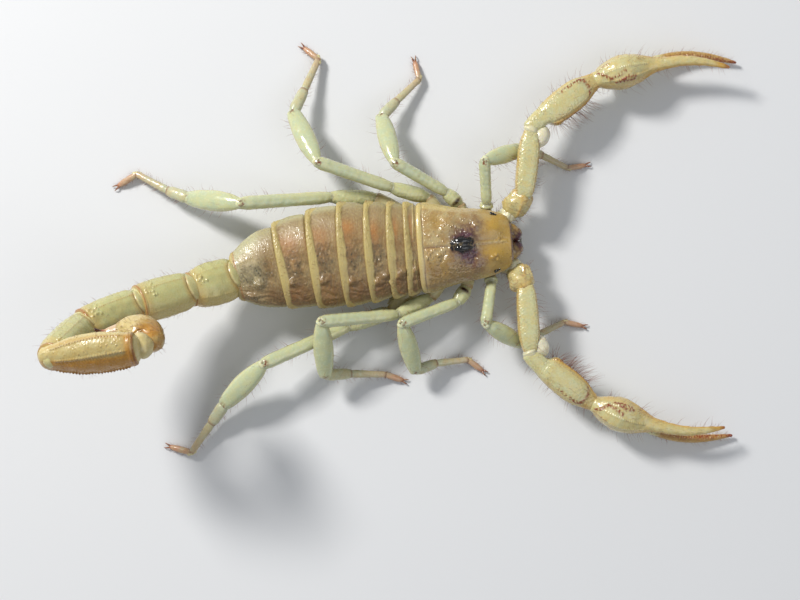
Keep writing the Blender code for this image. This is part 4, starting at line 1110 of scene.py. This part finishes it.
def build_palp(side_name, sign):
    """A pedipalp in six pieces, keeled and granular, with soft skin at its joints."""
    points = palp_points(side_name)
    base, elbow_1, elbow_2 = points[:3]
    run, inner, coat = (elbow_1 - base).normalized(), -sign, COATS["palp_" + side_name]

    coxa = limb_piece((carapace_place(10.9, sign * 2.4, 4.3), carapace_place(13.2, sign * 3.5, 4.3),
                       base + run * 0.2), COXA_SHAPE, 1.75, 1.5, 1.7, 40)
    coxa.raise_by(0.04 * coxa.noise(0.8, 120))
    membrane = ball(base - run * 0.1 + UP * 0.5, run, 1.3, 1.5, 1.5, 40, 22)
    membrane.raise_by(0.10 * membrane.noise(1.4, 127)).mark(pale=0.6)
    build_palp_piece("coxa", side_name, [coxa, membrane])
    coat.grow(coxa, 60, (0.8, 1.8), 0.3, 200, lambda t, a: (t > 0.4) * (np.abs(a) > 1.0))

    knob = limb_piece((base, elbow_1), TROCHANTER_SHAPE, PALP_HALF_WIDTHS[0],
                      PALP_HALF_DEPTHS[0], PALP_HALF_DEPTHS[0], 84, 0.07, 2.3, (0.6, 0.45))
    lumps = knob.noise(2.4, 121)
    ridge = hump(knob.angle * inner, 0.55 - 0.9 * (knob.t - 0.5), 0.12) * hump(
        knob.t, 0.55, 0.35)
    knob.raise_by(0.16 * lumps + 0.22 * ridge + 0.03 * knob.noise(0.55, 119))
    net = knob.net(2.6, 118, 0.0, 0.12)
    knob.mark(blush=0.20 + 0.15 * clip(lumps) + 0.4 * ridge + 0.3 * edge(knob.t, 0.8, 1.0),
              brown=0.25 * ridge + 0.45 * net)
    knob.keels((1.15, -1.15, 2.6), 0.16, 0.09, 0.5, 0.6, (0.25, 0.95))
    build_palp_piece("trochanter", side_name, [knob, knuckle(points, 1, 1.25, 1.2)])
    coat.grow(knob, 45, (0.8, 2.4), 0.2, 201)

    femur = limb_piece((elbow_1, elbow_2), PALP_FEMUR_SHAPE, PALP_HALF_WIDTHS[1],
                       PALP_HALF_DEPTHS[1], PALP_HALF_DEPTHS[1], 104, 0.07, 3.0, (0.35, 0.35))
    femur.raise_by(0.020 * femur.noise(0.40, 122) - 0.08 * hump(femur.angle, 0, 0.62)
                   + 0.09 * femur.grains(0.40, 117))
    femur.keels((0.80, -0.80, 2.35, -2.35), 0.15, 0.05, 0.46, 1.1, (0.03, 0.98))
    femur.mark(blush=0.5 * edge(np.abs(femur.angle), 0.72, 0.95)
               + 0.3 * edge(femur.t, 0.92, 1.0))
    across = mitre(points, 2)
    bulge = ball(elbow_2 + UP.cross(across) * inner * 1.9
                 - (elbow_2 - elbow_1).normalized() * 0.25 - UP * 0.2, across, 2.0, 1.5, 1.35,
                 40, 26)
    bulge.raise_by(0.05 * bulge.noise(1.6, 116)).mark(pale=1.0)
    build_palp_piece("femur", side_name, [femur, knuckle(points, 2, 1.35, 1.3), bulge])
    coat.grow(femur, 100, (0.7, 2.6), 0.15, 202, beside(0.35, 0.6, 0.9))

    build_palp_patella(side_name, sign, points, coat)
    build_hand(side_name, sign, points, coat)


def build_palp_patella(side_name, sign, points, coat):
    """The spindle-shaped patella: notched beside the elbow, keeled edges joined by an arch."""
    elbow, wrist = points[2:4]
    inner, outward = -sign, UP.cross((wrist - elbow).normalized()) * sign
    patella = limb_piece([elbow.lerp(wrist, t) + outward * bow for t, bow in PATELLA_BOWS],
                         PALP_PATELLA_SHAPE, PALP_HALF_WIDTHS[2], PALP_HALF_DEPTHS[2],
                         PALP_HALF_DEPTHS[2], 120, 0.08, 2.7, (0.4, 0.4))
    t, a = patella.t, patella.angle
    corner = hump(a, inner * 1.5, 0.5)
    patella.raise_by(0.35 * corner * hump(t, 0.335, 0.06) - 0.25 * corner * hump(t, 0.20, 0.07))
    patella.raise_by(0.020 * patella.noise(0.40, 123) + 0.09 * patella.grains(0.40, 115)
                     - 0.06 * hump(a, 0, 0.6) * edge(t, 0.3, 0.4))
    patella.keels((0.72, -0.72), 0.12, 0.05, 0.36, 0.50, (0.26, 0.86))
    patella.keels((2.3, -2.3), 0.12, 0.05, 0.36, 0.4, (0.26, 0.86))
    patella.keel(inner * 1.08, 0.24, 0.09, 0.46, 1.25, (0.24, 0.90))
    collar = hump(t, 0.86 - 0.05 * (a / 0.72) ** 2, 0.024) * (np.abs(a) < 0.85)
    patella.raise_by(0.08 * collar * (0.5 + 0.5 * np.cos(a * 22)))
    outer_band = hump(a, -inner * 0.62, 0.16) * between(t, (0.45, 0.6), (0.86, 0.9))
    specks = clip(0.3 + patella.noise(0.5, 124))
    patella.mark(brown=1.1 * collar * (0.4 + 0.6 * specks) + 1.1 * outer_band * specks,
                 blush=1.0 * hump(a, inner * 1.20, 0.42) * edge(t, 0.24, 0.34)
                 + 0.45 * edge(t, 0.84, 0.9)
                 + 0.45 * edge(a * -inner, 0.72, 1.1) * edge(t, 0.1, 0.4))
    build_palp_piece("patella", side_name, [patella])
    coat.grow(patella, 110, (0.8, 2.6), 0.15, 203)
    coat.grow(patella, 90, (1.8, 3.7), 0.16, 204, lambda t, a: hump(
        a, inner * 1.60, 0.32) * (t > 0.26) * (t < 0.80), 0.026)


def stroke(u, a, start, end, along, across, width):
    """A soft line on a palm between two places given as (share of its length, angle)."""
    along_part, across_part = (u - start[0]) * along, (a - start[1]) * across
    run = np.array([(end[0] - start[0]) * along, (end[1] - start[1]) * across])
    share = clip((along_part * run[0] + across_part * run[1]) / (run @ run))
    return hump(along_part, share * run[0], width) * hump(across_part, share * run[1], width)


def finger_path(root, degrees, length, height, bow):
    """Points of a bowed finger from its root to its tip."""
    tip = walk(root, [degrees], [length], [height])[1]
    return [root.lerp(tip, t) + bow * math.sin(math.pi * t)
            for t in np.linspace(0, 1, FINGER_POINTS)]


def build_hand(side_name, sign, points, coat):
    """The swollen palm with its keels and fixed finger, and the movable finger below it."""
    wrist, palm_end = points[3:5]
    wide, deep = PALP_HALF_WIDTHS[3], PALP_HALF_DEPTHS[3]
    headings, heights = PALP_HEADINGS[side_name], PALP_HEIGHTS[side_name]
    outward = UP.cross((palm_end - wrist).normalized()) * sign
    fixed = finger_path(palm_end + UP * 1.5, headings[4], PALP_LENGTHS[4], heights[4],
                        outward * FINGER_BOW * 0.6 + UP * 0.4)
    path = [wrist.lerp(palm_end, t) + outward * bow + UP * lift for t, bow, lift in PALM_BOWS]
    path += fixed[1:]
    lengths = np.cumsum([0] + [(b - a).length for a, b in zip(path, path[1:])])
    palm_share = lengths[len(PALM_BOWS) - 1] / lengths[-1]
    profile = [(t * palm_share, wide * w, deep * h, deep * d) for t, w, h, d in PALM_PROFILE]
    profile += [(palm_share + (1 - palm_share) * t, k, 0.95 * k, 0.85 * k)
                for t, k in FIXED_FINGER]
    hand = Sweep(path, profile, 120, 300, 2.25, (0.4, 1.2))
    t, a = hand.t, hand.angle
    u = t / palm_share
    hand.raise_by(0.035 * hand.noise(1.6, 130) + 0.012 * hand.noise(0.6, 129))
    for at, height in PALM_KEELS:
        hand.keel(at * sign, height, 0.07, 0.42, 0.0, (0.02, palm_share * 0.95))
    dots = clip(0.75 + 0.8 * hand.noise(0.5, 133))
    rows = np.max([strength * stroke(u, a * sign, start, end, palm_share * lengths[-1], wide,
                                     0.27) for start, end, strength in PALM_ROWS], axis=0)
    hand.raise_by(0.14 * rows * dots)
    finger, teeth = edge(u, 0.95, 1.10), beads(hand.place, TOOTH_STEP)
    biting = hump(np.abs(a), math.pi - 0.1, 0.32)
    hand.raise_by(0.10 * biting * teeth * finger)
    hand.mark(blush=0.10 * fade(u, 0.9, 1.1)
              + 0.55 * edge(u, 0.6, 1.0) * (0.4 + 0.6 * edge(np.abs(a), 0.6, 1.2))
              + 0.55 * hump(a * sign, -1.2, 0.55) + 0.30 * hump(a * sign, 1.3, 0.5)
              + 0.75 * edge(t, 0.86, 0.95),
              brown=1.5 * rows * dots + 0.9 * biting * finger * (0.4 + 0.6 * teeth)
              + 0.75 * edge(t, 0.955, 0.995))
    build_palp_piece("hand", side_name, [knuckle(points, 3, 1.1, 1.2), hand])
    coat.grow(hand, 170, (0.7, 2.4), 0.2, 205)

    path = finger_path(wrist.lerp(palm_end, 0.86) - UP * 1.85, headings[5],
                       PALP_LENGTHS[5] + 0.2, heights[5], outward * FINGER_BOW - UP * 0.2)
    path = [point + outward * 0.55 * (1 - step / (FINGER_POINTS - 1))
            for step, point in enumerate(path)]
    finger = Sweep(path, [(t, k, 0.9 * k, 0.95 * k) for t, k in MOVING_FINGER], 56, 200, 2.1,
                   (0.7, 1.2))
    t, a = finger.t, finger.angle
    finger.raise_by(0.02 * finger.noise(0.7, 131))
    teeth, row, biting = beads(finger.place, TOOTH_STEP), edge(t, 0.15, 0.25), hump(a, 0, 0.34)
    finger.raise_by(0.12 * biting * teeth * row)
    speckle = clip(0.5 + finger.noise(0.35, 134))
    finger.mark(blush=0.70 * row, dusk=0.8 * edge(t, 0.975, 1.0),
                brown=row * (0.30 * biting * teeth + (0.24 + 0.30 * speckle) * hump(a, 0, 1.6)
                             + (0.25 + 0.55 * speckle) * hump(a * sign, -0.75, 0.55))
                + 0.85 * edge(t, 0.93, 1.0))
    build_palp_piece("finger", side_name, [finger], "telson_cuticle")
    coat.grow(finger, 90, (0.4, 1.4), 0.3, 206)


# ---- legs --------------------------------------------------------------------------------
HIP_SHAPE = ((0, 0.62), (0.2, 0.92), (0.6, 1.0), (0.88, 0.86), (1, 0.70))
FEMUR_SHAPE = ((0, 0.74), (0.08, 0.88), (0.4, 0.95), (0.8, 1.0), (0.94, 0.98), (1, 0.84))
PATELLA_SHAPE = ((0, 0.50), (0.06, 0.60), (0.18, 0.80), (0.38, 0.97), (0.58, 1.0),
                 (0.80, 0.88), (0.93, 0.76), (1, 0.66))
# shape, half width, height, depth, red tint at its start and end, hairs and their lengths
FOOT_PARTS = (
    (((0, 0.72), (0.12, 0.95), (0.5, 1.0), (0.85, 0.92), (1, 0.78)), 0.98, 0.85, 0.95,
     0.0, 0.12, 32, (0.5, 1.5)),
    (((0, 0.95), (0.12, 1.0), (0.6, 0.86), (0.9, 0.82), (1, 0.76)), 0.68, 0.63, 0.65,
     0.05, 0.45, 55, (0.5, 1.3)),
    (((0, 0.75), (0.12, 0.9), (0.45, 1.0), (0.8, 0.9), (1, 0.6)), 0.54, 0.50, 0.60,
     0.60, 0.95, 45, (0.3, 0.8)))
HIP_BLOTS = ((0.3, 0.7), (1.15, 1.3), (0.5, 0.15), (0.5, 0.15))  # (place, strength) by pair


def build_leg(side_name, pair):
    """A walking leg in three pieces: trochanter and femur, patella, tibia to claws."""
    points, k = leg_points(side_name, pair), LEG_THICKNESS[pair]
    tag = "%s_%d" % (side_name, pair + 1)
    inner, coat = dict(SIDES)[side_name], COATS["legs_" + side_name]

    hip = limb_piece(points[0:2], HIP_SHAPE, 1.3 * k, 1.25 * k, 1.35 * k, 48, 0.10)
    hip.raise_by(0.03 * hip.noise(0.9, 140 + pair))
    blot_at, strength = HIP_BLOTS[pair]
    blot = strength * hump(hip.place, blot_at, 0.32) * hump(hip.angle, 0.1 * inner, 0.62)
    hip.mark(soft=0.5, dusk=1.2 * blot, brown=1.2 * blot * (1 - blot) + 0.35 * edge(
        hip.t, 0.9, 1.0) * hump(hip.angle, 0, 1.0))
    femur = limb_piece(points[1:3], FEMUR_SHAPE, 1.12 * k, 1.2 * k, 1.45 * k, 52, 0.12, 2.4,
                       (0.5, 0.5))
    femur.raise_by(0.02 * femur.noise(1.1, 142 + pair))
    femur.keels((0.9, -0.9), 0.05, 0.07, 0.6, 0.10, (0.06, 0.92))
    spot_joint(femur, femur.length - 0.1, 1.0)
    spot_joint(femur, 0.15, 0.35)
    femur.mark(pale=0.20 * hump(femur.angle, -0.5 * inner, 0.4),
               soft=0.35 * fade(femur.t, 0.05, 0.6) + 0.55 * edge(np.abs(femur.angle), 0.7, 1.3))
    build_piece("femur_" + tag, "leg_" + tag + "_femur", "limb_cuticle",
                [hip, femur, knuckle(points, 1, 0.85 * k, 0.9 * k),
                 knuckle(points, 2, 0.82 * k, 0.85 * k), *hinge_beads(points, 2, k)])
    coat.grow(hip, 14, (0.6, 1.6), 0.2, 210 + pair)
    coat.grow(femur, 40, (0.5, 1.8), 0.25, 214 + pair, beside(0.3))

    patella = limb_piece(points[2:4], PATELLA_SHAPE, 1.72 * k, 1.35 * k, 1.5 * k, 60, 0.11,
                         2.15, (0.5, 0.45))
    patella.raise_by(0.02 * patella.noise(1.8, 146 + pair))
    patella.mark(soft=0.6 * edge(np.abs(patella.angle), 0.7, 1.3))
    spot_joint(patella, patella.length - 0.05, 0.75)
    spot_joint(patella, 0.1, 0.55)
    patella.keels((0.75, -0.75), 0.05, 0.05, 0.5, 0.12, (0.1, 0.9))
    build_piece("patella_" + tag, "leg_" + tag + "_patella", "limb_cuticle",
                [patella, knuckle(points, 3, 0.72 * k, 0.72 * k),
                 *hinge_beads(points, 3, k * 0.8)])
    coat.grow(patella, 45, (0.5, 2.0), 0.25, 218 + pair, beside(0.3))
    build_foot(points, k, pair, tag, coat)


def spot_joint(sweep, at, strength):
    """Small red-brown stains on the upper side of a leg segment near one end."""
    stain = hump(sweep.place, at, 0.42) * hump(sweep.angle, 0.05, 0.55)
    sweep.mark(brown=1.3 * strength * stain * clip(0.65 + 0.9 * sweep.noise(0.42, 145)))


def hinge_beads(points, joint, k):
    """The pair of dark hinge beads of a leg joint."""
    along = mitre(points, joint)
    side = UP.cross(along).normalized() * 0.34 * k
    return [ball(points[joint] + side * turn + UP * 0.82 * k, along, 0.30 * k, 0.20 * k,
                 0.20 * k, 12, 8).mark(brown=0.55) for turn in (1, -1)]


def build_foot(points, k, pair, tag, coat):
    """Tibia, basitarsus and telotarsus with spurs, soles and a pair of claws."""
    sweeps = []
    for j, (shape, wide, high, deep, first, last, hairs, lengths) in enumerate(FOOT_PARTS):
        part = limb_piece(points[3 + j:5 + j], shape, wide * k, high * k, deep * k, 32, 0.11,
                          2.2, (0.5, 0.5))
        part.raise_by(0.015 * part.noise(0.6, 150 + j))
        part.mark(blush=(first + (last - first) * clip(part.t))
                  * clip(0.9 + 0.2 * part.noise(1.2, 153 + j)),
                  brown=0.60 * hump(part.place, part.length, 0.28)
                  + last * (0.10 + 0.30 * edge(np.abs(part.angle), 0.8, 1.4)))
        sweeps.append(part.above_floor(0.0))
        if j:
            sweeps.append(knuckle(points, 3 + j, wide * k * 0.85, high * k * 0.85))
        coat.grow(part, hairs, lengths, 0.3, 231 + 4 * j + pair, beside(0.4), 0.02)
    ankle, toe = points[5:7]
    forward = Vector((toe.x - ankle.x, toe.y - ankle.y, 0)).normalized()
    for turn in (1, -1):
        side = UP.cross(forward) * turn
        root = toe + forward * 0.05 + side * 0.18 * k + UP * 0.02
        path = [root + forward * ahead + side * out + UP * lift for ahead, out, lift in
                ((0, 0, 0), (0.40, 0.12, 0.18), (0.78, 0.20, -0.02), (0.95, 0.22, -0.24))]
        claw = Sweep(path, [(0, 0.16), (0.5, 0.11), (1, 0.035)], 10, 12)
        sweeps.append(claw.mark(brown=0.95).above_floor(0.02))
        root = ankle + side * 0.4 * k
        spur = Sweep((root, root + forward * 0.40 + side * 0.25 - UP * 0.35),
                     [(0, 0.11), (1, 0.03)], 8, 6)
        sweeps.append(spur.mark(brown=0.9))
    build_piece("foot_" + tag, "leg_" + tag + "_tarsus", "tarsus_cuticle", sweeps)


# ---- stage -------------------------------------------------------------------------------
VIEW_ROLL = -8.0                    # degrees from the image's right to the animal's length
VIEW_POINT = (-2.78, -7.09, 345.0)  # the camera looks straight down from here
LENS, SENSOR = 89.3, 36.0           # millimetres of the camera itself
FLOOR_REACH = 3.0                   # metres


def add_area(name, toward, distance, size, power, colour):
    """A square lamp at a distance in a direction, aimed at the middle of the model."""
    light = bpy.data.lights.new(name, "AREA")
    light.size, light.energy, light.color = size, power, colour
    lamp = add_object(name, light)
    direction = Vector(toward).normalized()
    lamp.location = direction * distance + Vector((0, 0, 0.01))
    lamp.rotation_euler = direction.to_track_quat("Z", "Y").to_euler()


def build_stage():
    """Plain pale floor, soft studio light and the camera above."""
    mesh = bpy.data.meshes.new("floor")
    mesh.from_pydata([(x * FLOOR_REACH, y * FLOOR_REACH, 0) for x, y in
                      ((-1, -1), (1, -1), (1, 1), (-1, 1))], [], [(0, 1, 2, 3)])
    material = bpy.data.materials.new("floor_paint")
    material.use_nodes = True
    shader = material.node_tree.nodes["Principled BSDF"]
    shader.inputs["Base Color"].default_value = (0.72, 0.73, 0.75, 1)
    shader.inputs["Roughness"].default_value = 0.6
    mesh.materials.append(material)
    floor = add_object("floor", mesh)
    floor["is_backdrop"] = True
    world = bpy.data.worlds.new("studio")
    world.use_nodes = True
    background = world.node_tree.nodes["Background"]
    background.inputs["Color"].default_value = (0.93, 0.96, 1.0, 1)
    background.inputs["Strength"].default_value = 0.34
    bpy.context.scene.world = world
    bpy.context.scene.view_settings.view_transform = "Standard"
    add_area("key", (-0.73, 0.88, 1.0), 0.6, 0.11, 3.6, (1.0, 0.98, 0.94))
    add_area("fill", (0.6, -0.5, 1.2), 0.7, 0.5, 0.8, (0.94, 0.97, 1.0))
    camera = bpy.data.cameras.new("camera")
    camera.lens, camera.sensor_width, camera.clip_start = LENS, SENSOR, 0.01
    view = add_object("camera", camera)
    view.location = Vector(VIEW_POINT) * MM
    view.rotation_euler = (0, 0, math.radians(VIEW_ROLL))
    bpy.context.scene.camera = view


build_stage()
build_carapace()
build_eyes()
build_chelicerae()
build_underside()
build_pectines()
build_mesosoma()
build_tail()
for side_name, sign in SIDES:
    build_palp(side_name, sign)
    for pair in range(4):
        build_leg(side_name, pair)
for coat in COATS.values():
    coat.build()

[[list(corner) for corner in box] for box in (cad_bounds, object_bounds())]
